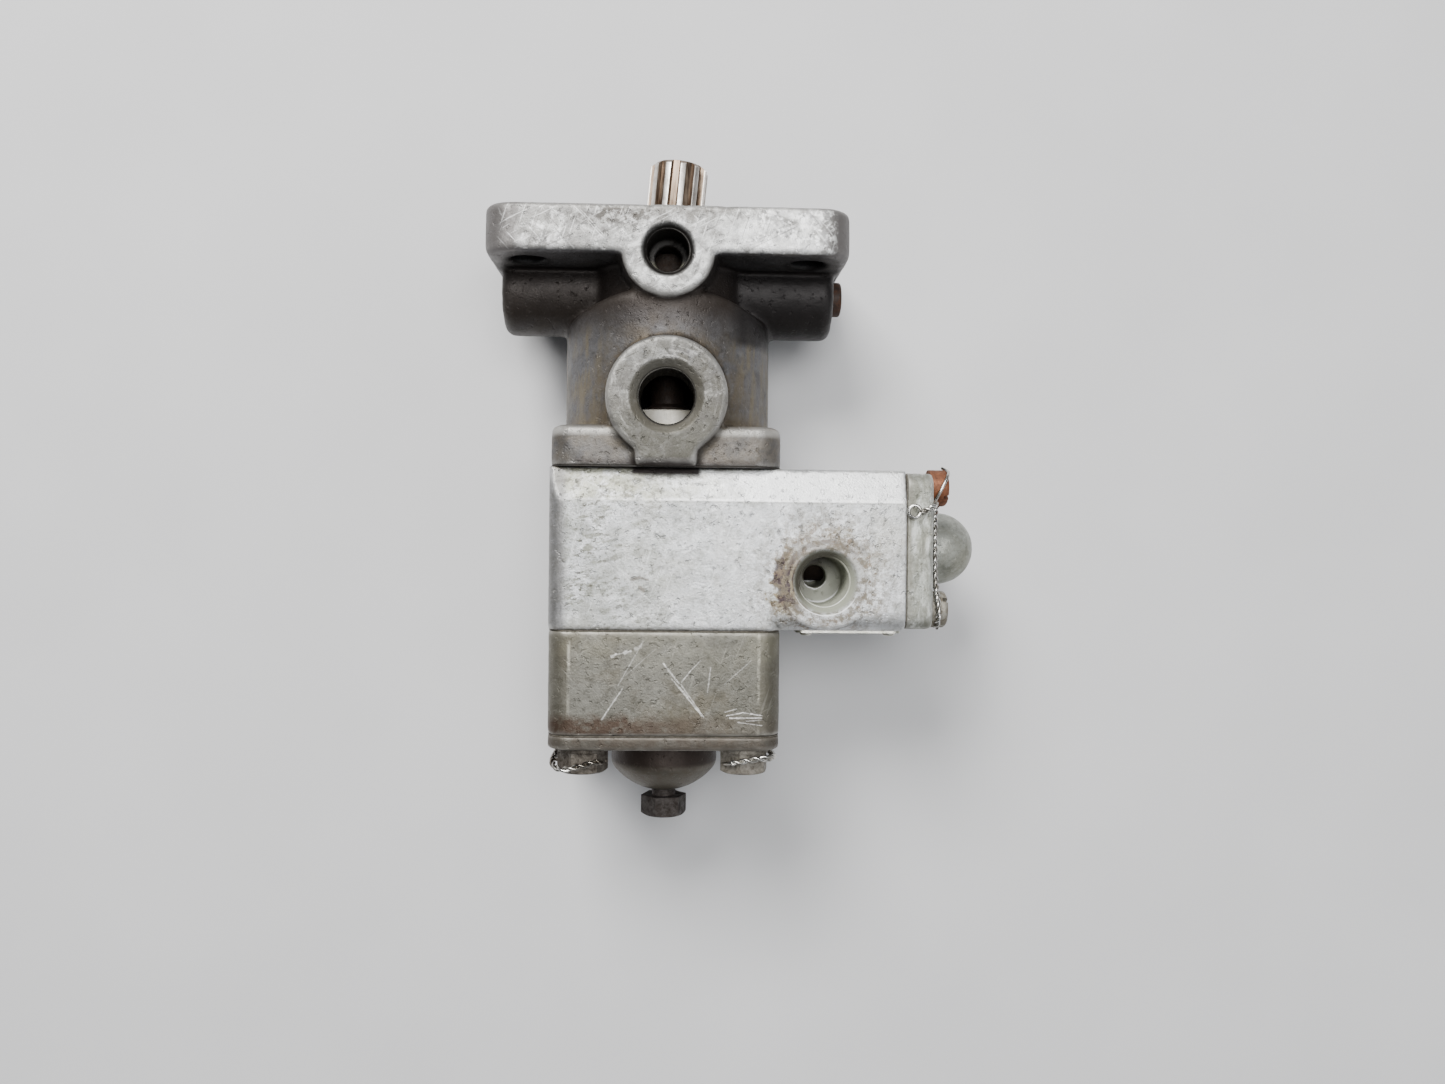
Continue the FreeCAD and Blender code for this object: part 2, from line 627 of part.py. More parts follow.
def relief_cover():
    """Bottom cover plate with the dome over the relief spring."""
    across = (-HALF_DEPTH, HALF_DEPTH)
    plate = slab_y(across, (COVER_BOTTOM_Y, COVER_TOP_Y), across, COVER_CORNER, 0, COVER_EDGE_ROUND)
    cap_rise = DOME_STRAIGHT_Y - DOME_TIP_Y
    cap_r = (DOME_R ** 2 + cap_rise ** 2) / (2 * cap_rise)
    ball = Part.makeSphere(cap_r, Vector(0, DOME_TIP_Y + cap_r, 0))
    straight = rod_y(DOME_STRAIGHT_Y, COVER_TOP_Y, DOME_R)
    cap = rod_y(DOME_TIP_Y, DOME_STRAIGHT_Y, DOME_R).common(ball)
    dome = joined([straight, cap])
    shoulder = edges_at(dome, Y_AXIS, DOME_STRAIGHT_Y)
    dome = dome.makeFillet(DOME_SHOULDER_ROUND, shoulder)
    casting = joined([plate, dome])
    hollows = [
        rod_y(COVER_TOP_Y + 1, DOME_CAVITY_Y, DOME_CAVITY_R),
        rod_y(DOME_CAVITY_Y + 1, DOME_TIP_Y - 1, SCREW_R + RUNNING_GAP),
        rod_y(PACKING_Y - PACKING_WIRE_R, PACKING_Y + PACKING_WIRE_R, SCREW_R + 2 * PACKING_WIRE_R + 0.1),
    ]
    hollows += bolt_holes(COVER_TOP_Y + 1, COVER_BOTTOM_Y - 1, BOLT_HOLE_R)
    return cut_all(casting, hollows)


def regulator_cover():
    """Side cover plate with the dome over the regulator spring."""
    low_y = BLOCK_BOTTOM_Y + SIDE_COVER_INSET
    high_y = BLOCK_TOP_Y - SIDE_COVER_INSET
    reach = HALF_DEPTH - SIDE_COVER_INSET
    plate = box((SIDE_COVER_X, SIDE_COVER_OUT_X), (low_y, high_y), (-reach, reach))
    plate = plate.makeFillet(SIDE_COVER_CORNER, edges_along(plate, X_AXIS))
    plate = plate.makeFillet(SIDE_COVER_ROUND, edges_at(plate, X_AXIS, SIDE_COVER_OUT_X))
    dome = joined([
        rod_x(SIDE_COVER_X, SIDE_DOME_CENTRE_X, SIDE_DOME_R, REGULATOR_Y),
        Part.makeSphere(SIDE_DOME_R, Vector(SIDE_DOME_CENTRE_X, REGULATOR_Y, 0)),
    ])
    casting = joined([plate, dome])
    hollows = [rod_x(SIDE_COVER_X - 1, SIDE_DOME_CAVITY_X, SIDE_DOME_CAVITY_R, REGULATOR_Y)]
    hollows += regulator_screw_holes(SIDE_COVER_X - 1, SIDE_COVER_OUT_X + 1, SIDE_SCREW_R + 0.2)
    return cut_all(casting, hollows)


# ---- gaskets ----

def stack_gasket(top, corner, opening_r, with_return):
    """A thin gasket of the square stack, a little inside the outline of the castings."""
    reach = HALF_DEPTH - GASKET_INSET
    sheet = slab_y((-reach, reach), (top - GASKET, top), (-reach, reach), corner)
    hollows = [rod_y(top - GASKET - 1, top + 1, opening_r)]
    hollows += bolt_holes(top + 1, top - GASKET - 1, BOLT_HOLE_R)
    if with_return:
        hollows.append(rod_y(top - GASKET - 1, top + 1, RETURN_R, 0, RETURN_Z))
        hollows += dowel_holes(top)
    return cut_all(sheet, hollows)


def regulator_gasket():
    """The gasket under the side cover."""
    inset = SIDE_COVER_INSET + GASKET_INSET
    y_range = (BLOCK_BOTTOM_Y + inset, BLOCK_TOP_Y - inset)
    reach = HALF_DEPTH - inset
    sheet = box((SIDE_GASKET_X, SIDE_COVER_X), y_range, (-reach, reach))
    sheet = sheet.makeFillet(SIDE_GASKET_CORNER, edges_along(sheet, X_AXIS))
    hollows = [rod_x(SIDE_GASKET_X - 1, SIDE_COVER_X + 1, REGULATOR_BORE_R, REGULATOR_Y)]
    hollows += regulator_screw_holes(SIDE_GASKET_X - 1, SIDE_COVER_X + 1, SIDE_SCREW_R + 0.2)
    return cut_all(sheet, hollows)


# ---- fasteners and safety wire ----

HEAD_TOP_Y = COVER_BOTTOM_Y - WASHER_THICK
HEAD_BOTTOM_Y = HEAD_TOP_Y - HEAD_TALL
WIRE_LEVEL_Y = HEAD_TOP_Y - HEAD_TALL / 2


def through_bolts():
    """Four long bolts with hex heads drilled for safety wire."""
    bolts = []
    for (x, z), turn in zip(four_corners(BOLT_AT, BOLT_AT), HEAD_TURNS_DEG):
        head = hex_head_down(HEAD_TOP_Y, HEAD_BOTTOM_Y, HEAD_ACROSS_FLATS, x, z)
        head.rotate(Vector(x, 0, z), Y_AXIS, turn)
        bolt = head.fuse(rod_y(HEAD_TOP_Y, BOLT_TOP_Y, BOLT_R, x, z))
        bolts.append(bolt.cut(rod_x(x - 8, x + 8, WIRE_HOLE_R, WIRE_LEVEL_Y, z)))
    return bolts


def bolt_washers():
    """The washers under the bolt heads."""
    washers = []
    for x, z in four_corners(BOLT_AT, BOLT_AT):
        disc = rod_y(HEAD_TOP_Y, COVER_BOTTOM_Y, WASHER_R, x, z)
        washers.append(disc.cut(rod_y(HEAD_TOP_Y, COVER_BOTTOM_Y, BOLT_HOLE_R, x, z)))
    return washers


SIDE_HEAD_X = SIDE_COVER_OUT_X + SIDE_SCREW_HEAD_TALL
SIDE_WIRE_X = SIDE_COVER_OUT_X + SIDE_SCREW_HEAD_TALL / 2 - 0.4


def regulator_screws():
    """Four fillister head screws of the side cover, slotted and drilled for safety wire."""
    screws = []
    for y, z in four_corners(SIDE_SCREW_Y, SIDE_SCREW_Z):
        head = rod_x(SIDE_COVER_OUT_X, SIDE_HEAD_X, SIDE_SCREW_HEAD_R, REGULATOR_Y + y, z)
        head = head.makeFillet(SIDE_HEAD_ROUND, edges_at(head, X_AXIS, SIDE_HEAD_X))
        screw = head.fuse(rod_x(SIDE_SCREW_IN_X, SIDE_COVER_OUT_X, SIDE_SCREW_R, REGULATOR_Y + y, z))
        slot = box(
            (SIDE_HEAD_X - SLOT_DEEP, SIDE_HEAD_X + 1),
            (REGULATOR_Y + y - SLOT_WIDE / 2, REGULATOR_Y + y + SLOT_WIDE / 2),
            (z - SIDE_SCREW_HEAD_R - 1, z + SIDE_SCREW_HEAD_R + 1),
        )
        slot.rotate(Vector(0, REGULATOR_Y + y, z), X_AXIS, SLOT_TURN_DEG * y / SIDE_SCREW_Y)
        drilled = rod_y(REGULATOR_Y + y - 8, REGULATOR_Y + y + 8, WIRE_HOLE_R, SIDE_WIRE_X, z)
        screws.append(screw.cut(slot).cut(drilled))
    return screws


def bolt_lockwire(side):
    """Safety wire between the front and back bolt heads of one side."""
    out_x = BOLT_AT + HEAD_ACROSS_FLATS / math.sqrt(3) + WIRE_R + 0.35
    points = [
        Vector(side * (BOLT_AT - 5.0), WIRE_LEVEL_Y, BOLT_AT),
        Vector(side * out_x, WIRE_LEVEL_Y, BOLT_AT),
        Vector(side * out_x, WIRE_LEVEL_Y, -BOLT_AT),
        Vector(side * (BOLT_AT - 5.0), WIRE_LEVEL_Y, -BOLT_AT),
    ]
    return bent_wire(points, [WIRE_BEND_R * 0.5, WIRE_BEND_R * 0.5], WIRE_R)


def side_lockwire():
    """Safety wire between the side cover screws, front and back, and the curled front tail."""
    wires = []
    for z in (SIDE_SCREW_Z, -SIDE_SCREW_Z):
        wires.append(rod_y(
            REGULATOR_Y - SIDE_SCREW_Y - 3.0, REGULATOR_Y + SIDE_SCREW_Y + 3.0, WIRE_R, SIDE_WIRE_X, z
        ))
    tail_y = REGULATOR_Y + SIDE_SCREW_Y - SIDE_SCREW_HEAD_R - 1.2
    tail = bent_wire(
        [
            Vector(SIDE_WIRE_X, tail_y, SIDE_SCREW_Z + 2 * WIRE_R),
            Vector(SIDE_WIRE_X, tail_y, HALF_DEPTH + WIRE_R),
            Vector(SIDE_GASKET_X + 2.4, tail_y - 0.3, HALF_DEPTH + WIRE_R),
        ],
        [WIRE_BEND_R],
        WIRE_R,
    )
    curl = Part.makeTorus(
        1.35, WIRE_R * 0.9, Vector(SIDE_GASKET_X + 0.6, tail_y - 0.3, HALF_DEPTH + WIRE_R), Z_AXIS
    )
    return wires + [tail, curl]


# ---- plugs and plate ----

def drain_plug(side, proud):
    """A taper pipe plug with a hexagon socket, in one side boss."""
    end = SIDE_BOSS_END_X + proud
    shoulder = min(end, SIDE_BOSS_END_X - 0.6)
    plug = rod_x(side * (end - PLUG_LONG), side * end, PLUG_NOSE_R, SIDE_BOSS_Y)
    plug = plug.makeFillet(PLUG_END_ROUND, edges_at(plug, X_AXIS, side * end))
    plug = plug.fuse(rod_x(side * (end - PLUG_LONG), side * shoulder, SMALL_PORT_R, SIDE_BOSS_Y))
    corner_r = PLUG_KEY_ACROSS_FLATS / math.sqrt(3)
    floor_x = side * (end - PLUG_KEY_DEEP)
    points = []
    for corner in range(6):
        angle = math.radians(60 * corner)
        points.append(
            Vector(floor_x, SIDE_BOSS_Y + corner_r * math.cos(angle), corner_r * math.sin(angle))
        )
    hexagon = Part.Face(Part.makePolygon(points + points[:1]))
    return plug.cut(hexagon.extrude(Vector(side * (PLUG_KEY_DEEP + 1), 0, 0)))


def data_plate():
    """Thin blank plate under the arm."""
    top = BLOCK_BOTTOM_Y
    plate = slab_y(PLATE_X, (top - PLATE_THICK, top), PLATE_Z, 1.5)
    return cut_all(plate, [rod_y(top - 2, top + 1, RIVET_R, x, z) for x, z in rivet_places()])


def plate_rivets():
    """Round head drive screws of the data plate."""
    rivets = []
    under = BLOCK_BOTTOM_Y - PLATE_THICK
    for x, z in rivet_places():
        head = rod_y(under - RIVET_HEAD_TALL, under, RIVET_HEAD_R, x, z)
        head = head.makeFillet(RIVET_HEAD_ROUND, edges_at(head, Y_AXIS, under - RIVET_HEAD_TALL))
        rivets.append(head.fuse(rod_y(under, BLOCK_BOTTOM_Y + RIVET_LONG, RIVET_R, x, z)))
    return rivets


# ---- shaft group ----

def spline_outline(level):
    """The toothed outline of the spline as a closed wire in the plane at one level."""
    pitch = 360.0 / SPLINE_TEETH

    def at(radius, degrees):
        angle = math.radians(degrees)
        return Vector(radius * math.cos(angle), level, radius * math.sin(angle))

    edges = []
    for tooth in range(SPLINE_TEETH):
        middle = SPLINE_FIRST_TOOTH_DEG + tooth * pitch
        root_a = at(SPLINE_ROOT_R, middle - SPLINE_ROOT_HALF_DEG)
        tip_a = at(SPLINE_TIP_R, middle - SPLINE_TIP_HALF_DEG)
        tip_b = at(SPLINE_TIP_R, middle + SPLINE_TIP_HALF_DEG)
        root_b = at(SPLINE_ROOT_R, middle + SPLINE_ROOT_HALF_DEG)
        next_a = at(SPLINE_ROOT_R, middle + pitch - SPLINE_ROOT_HALF_DEG)
        edges.append(Part.LineSegment(root_a, tip_a).toShape())
        edges.append(Part.Arc(tip_a, at(SPLINE_TIP_R, middle), tip_b).toShape())
        edges.append(Part.LineSegment(tip_b, root_b).toShape())
        edges.append(Part.Arc(root_b, at(SPLINE_ROOT_R, middle + pitch / 2), next_a).toShape())
    return Part.Wire(edges)


def drive_coupling():
    """Floating coupling: outer spline, shear neck and a cross-drilled lower head, leaning over."""
    spline_long = COUPLING_TIP_Y - SPLINE_BOTTOM_Y
    spline = Part.Face(spline_outline(SPLINE_BOTTOM_Y)).extrude(Vector(0, spline_long, 0))
    turned = turned_y([
        (0, SPLINE_BOTTOM_Y), (SPLINE_ROOT_R, SPLINE_BOTTOM_Y), (SPLINE_TIP_R + 0.1, SPLINE_BOTTOM_Y + 1.2),
        (SPLINE_TIP_R + 0.1, COUPLING_TIP_Y - SPLINE_TIP_CHAMFER + 0.1),
        (SPLINE_TIP_R - SPLINE_TIP_CHAMFER, COUPLING_TIP_Y), (0, COUPLING_TIP_Y),
    ])
    spline = spline.common(turned)
    head = turned_y([
        (0, COUPLING_HEAD_BOTTOM_Y), (COUPLING_HEAD_R - 0.8, COUPLING_HEAD_BOTTOM_Y),
        (COUPLING_HEAD_R, COUPLING_HEAD_BOTTOM_Y + 1.6), (COUPLING_HEAD_R, COUPLING_HEAD_TOP_Y - 1.2),
        (COUPLING_NECK_R, COUPLING_HEAD_TOP_Y), (COUPLING_NECK_R, SPLINE_BOTTOM_Y + 0.5),
        (0, SPLINE_BOTTOM_Y + 0.5),
    ])
    centre_drill = turned_y([
        (0, COUPLING_TIP_Y + 1), (3.1, COUPLING_TIP_Y + 1), (1.6, COUPLING_TIP_Y - 0.8),
        (1.6, COUPLING_TIP_Y - 5),
        (0, COUPLING_TIP_Y - 6),
    ])
    past = COUPLING_HEAD_R + 1
    pin_hole = rod_z(-past, past, COUPLING_PIN_R + RUNNING_GAP, 0, COUPLING_PIVOT_Y)
    coupling = cut_all(joined([spline, head]), [centre_drill, pin_hole])
    coupling.rotate(Vector(0, COUPLING_PIVOT_Y, 0), Z_AXIS, -COUPLING_LEAN_DEG)
    return coupling


def coupling_pin():
    """Cross pin pressed through the shaft socket: it drives the coupling and the coupling rocks on it."""
    return rod_z(-COUPLING_PIN_HALF, COUPLING_PIN_HALF, COUPLING_PIN_R, 0, COUPLING_PIVOT_Y)


def key_block(gap):
    """The rotor key, or with a gap its seat."""
    half = KEY_WIDE / 2 + gap
    return box(
        (-half, half), (ROTOR_BOTTOM_Y + 1.5 - gap, PLATE_FLANGE_BOTTOM_Y - 1.5 + gap),
        (SHAFT_JOURNAL_R - KEY_HALF_TALL - gap, SHAFT_JOURNAL_R + KEY_HALF_TALL + gap),
    )


def rotor_shaft():
    """Pump shaft with a socket for the coupling, a seal land, a bearing seat and journals."""
    shaft = turned_y([
        (0, SHAFT_TOP_Y), (SHAFT_HEAD_R - 0.6, SHAFT_TOP_Y), (SHAFT_HEAD_R, SHAFT_TOP_Y - 0.8),
        (SHAFT_HEAD_R, SHAFT_SHOULDER_TOP_Y), (SHAFT_SHOULDER_R, SHAFT_SHOULDER_TOP_Y),
        (SHAFT_SHOULDER_R, SHAFT_SHOULDER_BOTTOM_Y), (SHAFT_NECK_R + 2, SHAFT_SHOULDER_BOTTOM_Y - 2),
        (SHAFT_NECK_R, SHAFT_SHOULDER_BOTTOM_Y - 4),
        (SHAFT_NECK_R, SHAFT_NECK_BOTTOM_Y), (SHAFT_JOURNAL_R, SHAFT_NECK_BOTTOM_Y - 1),
        (SHAFT_JOURNAL_R, SHAFT_END_Y + 1), (SHAFT_JOURNAL_R - 1, SHAFT_END_Y), (0, SHAFT_END_Y),
    ])
    hollows = [
        rod_y(SOCKET_BOTTOM_Y, SHAFT_TOP_Y + 1, SOCKET_R),
        rod_z(-SHAFT_HEAD_R - 1, SHAFT_HEAD_R + 1, COUPLING_PIN_R, 0, COUPLING_PIVOT_Y),
        key_block(0.0),
    ]
    return cut_all(shaft, hollows)


def bearing_groove():
    """The ring-shaped space the balls run in."""
    mid = BEARING_TOP_Y - BEARING_WIDE / 2
    return Part.makeTorus(BALL_CENTRE_R, BALL_R + BALL_GAP, Vector(0, mid, 0), Y_AXIS)


def bearing_outer_race():
    """Outer race of the ball bearing, pressed into the housing."""
    return ring_y(BEARING_TOP_Y - BEARING_WIDE, BEARING_TOP_Y, RACE_OUT_R, SEAL_BORE_R).cut(bearing_groove())


def bearing_inner_race():
    """Inner race of the ball bearing, on the shaft."""
    return ring_y(BEARING_TOP_Y - BEARING_WIDE, BEARING_TOP_Y, SHAFT_HEAD_R, RACE_IN_R).cut(bearing_groove())


def ball_places():
    """The ball centres round the shaft axis."""
    mid = BEARING_TOP_Y - BEARING_WIDE / 2
    places = []
    for ball in range(BALL_COUNT):
        angle = 2 * math.pi * ball / BALL_COUNT
        places.append(Vector(BALL_CENTRE_R * math.cos(angle), mid, BALL_CENTRE_R * math.sin(angle)))
    return places


def bearing_balls():
    """The balls of the bearing."""
    return [Part.makeSphere(BALL_R, place) for place in ball_places()]


def bearing_cage():
    """The cage that spaces the balls."""
    mid = BEARING_TOP_Y - BEARING_WIDE / 2
    cage = ring_y(
        mid - CAGE_WIDE / 2, mid + CAGE_WIDE / 2,
        BALL_CENTRE_R - CAGE_HALF_THICK, BALL_CENTRE_R + CAGE_HALF_THICK,
    )
    pockets = []
    for place in ball_places():
        outward = Vector(place.x, 0, place.z).normalize()
        pockets.append(Part.makeCylinder(BALL_R + 0.08, 6, place - outward * 3, outward))
    return cut_all(cage, pockets)


def shaft_seal_case():
    """Steel case of the shaft lip seal."""
    bottom = SEAL_TOP_Y - SEAL_TALL
    return turned_y([
        (SEAL_BORE_R, SEAL_TOP_Y), (SEAL_BORE_R, bottom), (SEAL_LIP_R + 1.6, bottom),
        (SEAL_LIP_R + 1.6, bottom + SEAL_CASE_THICK),
        (SEAL_BORE_R - SEAL_CASE_THICK, bottom + SEAL_CASE_THICK),
        (SEAL_BORE_R - SEAL_CASE_THICK, SEAL_TOP_Y),
    ])


def shaft_seal_lip():
    """Rubber lip of the shaft seal, with its dust lip and the groove of the garter spring."""
    floor = SEAL_TOP_Y - SEAL_TALL + SEAL_CASE_THICK
    lip = turned_y([
        (SEAL_BORE_R - SEAL_CASE_THICK, floor), (SEAL_LIP_R + 1.0, floor), (SEAL_LIP_R, floor + 2.4),
        (SEAL_LIP_R + 0.5, floor + 3.6), (SEAL_LIP_R + 2.6, floor + 3.6), (SEAL_LIP_R + 3.0, floor + 1.2),
        (SEAL_BORE_R - SEAL_CASE_THICK, floor + 1.2),
    ])
    return lip.cut(seal_spring_ring(0.05))


def seal_spring_ring(gap):
    """The garter spring of the seal, or with a gap its groove."""
    floor = SEAL_TOP_Y - SEAL_TALL + SEAL_CASE_THICK
    return Part.makeTorus(SEAL_LIP_R + 1.7, 0.6 + gap, Vector(0, floor + 3.4, 0), Y_AXIS)


def seal_retaining_ring():
    """Spring ring with two plier lugs that holds the seal in its bore."""
    top = RING_TOP_Y
    ring = ring_y(top - RING_THICK, top, RING_IN_R, RING_GROOVE_R - 0.15)
    lugs = []
    holes = []
    for side in (1, -1):
        angle = math.radians(-90 + side * (RING_GAP_DEG / 2 + 6))
        x = (RING_IN_R + 0.6) * math.cos(angle)
        z = (RING_IN_R + 0.6) * math.sin(angle)
        lugs.append(rod_y(top - RING_THICK, top, RING_LUG_R, x, z))
        holes.append(rod_y(top - RING_THICK - 1, top + 1, 0.8, x, z))
    mouth = [Vector(0, top + 1, 0)]
    for side in (-1, 1):
        angle = math.radians(-90 + side * RING_GAP_DEG / 2)
        mouth.append(Vector(30 * math.cos(angle), top + 1, 30 * math.sin(angle)))
    wedge = Part.Face(Part.makePolygon(mouth + mouth[:1])).extrude(Vector(0, -RING_THICK - 2, 0))
    ring = joined([ring.cut(wedge)] + lugs)
    return cut_all(ring, holes)


# ---- pumping group ----

def gerotor_profile():
    """Closed curve of the inner rotor: the path that the outer lobes roll off, inside by a lobe radius."""
    points = []
    steps = 16 * (OUTER_LOBES - 1)
    for step in range(steps):
        turn = 2 * math.pi * step / steps
        centre = complex(
            LOBE_CENTRE_R * math.cos(turn) + ECCENTRICITY * math.cos(OUTER_LOBES * turn),
            LOBE_CENTRE_R * math.sin(turn) + ECCENTRICITY * math.sin(OUTER_LOBES * turn),
        )
        along = complex(
            -LOBE_CENTRE_R * math.sin(turn) - OUTER_LOBES * ECCENTRICITY * math.sin(OUTER_LOBES * turn),
            LOBE_CENTRE_R * math.cos(turn) + OUTER_LOBES * ECCENTRICITY * math.cos(OUTER_LOBES * turn),
        )
        inward = along / abs(along) * 1j
        spot = centre + inward * (LOBE_R + LOBE_GAP)
        points.append(spot)
    return points


def rotor_face(level):
    """The inner rotor's outline as a face at one level."""
    points = [Vector(spot.real, level, spot.imag) for spot in gerotor_profile()]
    curve = Part.BSplineCurve()
    curve.interpolate(Points=points, PeriodicFlag=True)
    return Part.Face(Part.Wire(curve.toShape()))


def inner_rotor():
    """Inner gerotor, keyed to the shaft."""
    tall = PLATE_FLANGE_BOTTOM_Y - ROTOR_BOTTOM_Y - 2 * AXIAL_GAP
    rotor = rotor_face(ROTOR_BOTTOM_Y + AXIAL_GAP).extrude(Vector(0, tall, 0))
    rotor = rotor.cut(rod_y(ROTOR_BOTTOM_Y - 1, PLATE_FLANGE_BOTTOM_Y + 1, SHAFT_JOURNAL_R))
    keyway = box(
        (-KEY_WIDE / 2, KEY_WIDE / 2), (ROTOR_BOTTOM_Y - 1, PLATE_FLANGE_BOTTOM_Y + 1),
        (0, SHAFT_JOURNAL_R + KEY_HALF_TALL + 0.1),
    )
    return rotor.cut(keyway)


def outer_rotor():
    """Outer gerotor with round lobes, off centre by the eccentricity."""
    bottom = ROTOR_BOTTOM_Y + AXIAL_GAP
    top = PLATE_FLANGE_BOTTOM_Y - AXIAL_GAP
    root_r = LOBE_CENTRE_R - LOBE_R + 2 * ECCENTRICITY + 2 * LOBE_GAP
    hollow = rod_y(bottom - 1, top + 1, root_r, ECCENTRICITY)
    for lobe in range(OUTER_LOBES):
        angle = 2 * math.pi * lobe / OUTER_LOBES
        hollow = hollow.cut(rod_y(
            bottom - 2, top + 2, LOBE_R,
            ECCENTRICITY + LOBE_CENTRE_R * math.cos(angle), LOBE_CENTRE_R * math.sin(angle),
        ))
    return rod_y(bottom, top, OUTER_ROTOR_R, ECCENTRICITY).cut(hollow)


def eccentric_ring():
    """Liner ring whose bore is off centre, so the outer rotor runs beside the shaft axis."""
    ring = rod_y(ROTOR_BOTTOM_Y, PLATE_FLANGE_BOTTOM_Y, RING_R)
    bore = rod_y(ROTOR_BOTTOM_Y - 1, PLATE_FLANGE_BOTTOM_Y + 1, OUTER_ROTOR_R + RUNNING_GAP, ECCENTRICITY)
    return ring.cut(bore).cut(set_pin_hole())


def set_pin_hole():
    """The space of the pin that stops the ring and both plates from turning."""
    return rod_y(LOWER_PLATE_BOTTOM_Y + 2.0, BLOCK_TOP_Y - 1.0, SET_PIN_R, SET_PIN_X)


def kidney(start_deg, low_y, high_y, outer):
    """A kidney-shaped port through a plate, over most of a half turn from one angle."""
    ring = ring_y(low_y, high_y, KIDNEY_IN_R, outer)
    far = 40.0
    mouth = [Vector(0, low_y - 1, 0)]
    for step in range(4):
        angle = math.radians(start_deg + step * (180 - 2 * KIDNEY_START_DEG) / 3)
        mouth.append(Vector(far * math.cos(angle), low_y - 1, far * math.sin(angle)))
    wedge = Part.Face(Part.makePolygon(mouth + mouth[:1])).extrude(Vector(0, high_y - low_y + 2, 0))
    return ring.common(wedge)


def port_plate_upper():
    """Steel insert above the rotors: its hub stands in the inlet chamber, its flange seals the rotors."""
    plate = joined([
        rod_y(BLOCK_TOP_Y - 0.1, UPPER_HUB_TOP_Y, UPPER_HUB_R),
        rod_y(PLATE_FLANGE_BOTTOM_Y, BLOCK_TOP_Y - 0.05, RING_R),
    ])
    rim = edges_at(plate, Y_AXIS, UPPER_HUB_TOP_Y)
    plate = plate.makeFillet(PORT_PLATE_RIM_ROUND, rim)
    hollows = [
        rod_y(PLATE_FLANGE_BOTTOM_Y - 1, UPPER_HUB_TOP_Y + 1, BUSH_R),
        kidney(KIDNEY_START_DEG, PLATE_FLANGE_BOTTOM_Y - 1, KIDNEY_FLOOR_Y, CHAMBER_R - 1.0),
        set_pin_hole(),
    ]
    return cut_all(plate, hollows)


def port_plate_lower():
    """Plate below the rotors, with the discharge port."""
    plate = rod_y(LOWER_PLATE_BOTTOM_Y, ROTOR_BOTTOM_Y, RING_R)
    hollows = [
        rod_y(LOWER_PLATE_BOTTOM_Y - 1, ROTOR_BOTTOM_Y + 1, BUSH_R),
        kidney(180 + KIDNEY_START_DEG, LOWER_PLATE_BOTTOM_Y - 1, ROTOR_BOTTOM_Y + 1, KIDNEY_OUT_R),
        set_pin_hole(),
    ]
    return cut_all(plate, hollows)


# ---- regulator valve ----

def regulator_sleeve():
    """Steel sleeve in the arm, with cross ports from the outlet drilling."""
    inner_x = REGULATOR_BORE_END_X
    sleeve = rod_x(inner_x, SLEEVE_OUT_X, REGULATOR_BORE_R, REGULATOR_Y)
    bore = rod_x(inner_x + 1.5, SLEEVE_OUT_X + 1, SLEEVE_IN_R, REGULATOR_Y)
    ports = [
        rod_y(REGULATOR_Y - REGULATOR_BORE_R - 1, REGULATOR_Y, SLEEVE_PORT_R, FEED_X),
        rod_z(-REGULATOR_BORE_R - 1, REGULATOR_BORE_R + 1, SLEEVE_PORT_R, OUTLET_X, REGULATOR_Y),
    ]
    return cut_all(sleeve, [bore] + ports)


def regulator_piston():
    """Spool with two lands, a waist and a pocket for the spring."""
    land_r = SLEEVE_IN_R - RUNNING_GAP
    piston = turned_x([
        (0, PISTON_IN_X), (land_r - 0.6, PISTON_IN_X), (land_r, PISTON_IN_X + 0.6), (land_r, WAIST_IN_X),
        (WAIST_R, WAIST_IN_X + WAIST_SLOPE), (WAIST_R, WAIST_OUT_X - WAIST_SLOPE), (land_r, WAIST_OUT_X),
        (land_r, PISTON_OUT_X), (0, PISTON_OUT_X),
    ], REGULATOR_Y, 0)
    return piston.cut(rod_x(PISTON_OUT_X - 5, PISTON_OUT_X + 1, PISTON_POCKET_R, REGULATOR_Y))


def regulator_spring():
    """Coil spring between the regulator piston and its seat in the dome."""
    coil = helix_spring(
        PISTON_OUT_X - 5, SIDE_DOME_CAVITY_X - SIDE_SEAT_THICK, REGULATOR_SPRING_R,
        REGULATOR_SPRING_WIRE_R, REGULATOR_SPRING_TURNS,
    )
    coil.rotate(ORIGIN, Z_AXIS, -90)
    coil.translate(Vector(0, REGULATOR_Y, 0))
    return coil


def regulator_spring_seat():
    """Cup at the dome end of the regulator spring."""
    plain = rod_x(
        SIDE_DOME_CAVITY_X - SIDE_SEAT_THICK, SIDE_DOME_CAVITY_X, SIDE_DOME_CAVITY_R - 0.1, REGULATOR_Y
    )
    spigot = rod_x(SIDE_DOME_CAVITY_X - SIDE_SEAT_THICK - 2.5, SIDE_DOME_CAVITY_X - 0.5, 2.3, REGULATOR_Y)
    return plain.fuse(spigot)


# ---- relief valve ----

def relief_seat():
    """Hard seat ring pressed into the relief housing."""
    return ring_y(SEAT_BOTTOM_Y, SEAT_TOP_Y, SEAT_IN_R, RELIEF_BORE_R)


def relief_poppet():
    """Cup-shaped relief valve, closed against the seat by its spring."""
    top = SEAT_BOTTOM_Y - CONTACT_GAP
    poppet = turned_y([
        (0, top), (SEAT_IN_R + 1.2, top), (POPPET_R, top - 2.2), (POPPET_R, POPPET_BOTTOM_Y),
        (0, POPPET_BOTTOM_Y),
    ])
    return poppet.cut(rod_y(POPPET_BOTTOM_Y - 1, top - POPPET_FACE_THICK, POPPET_POCKET_R))


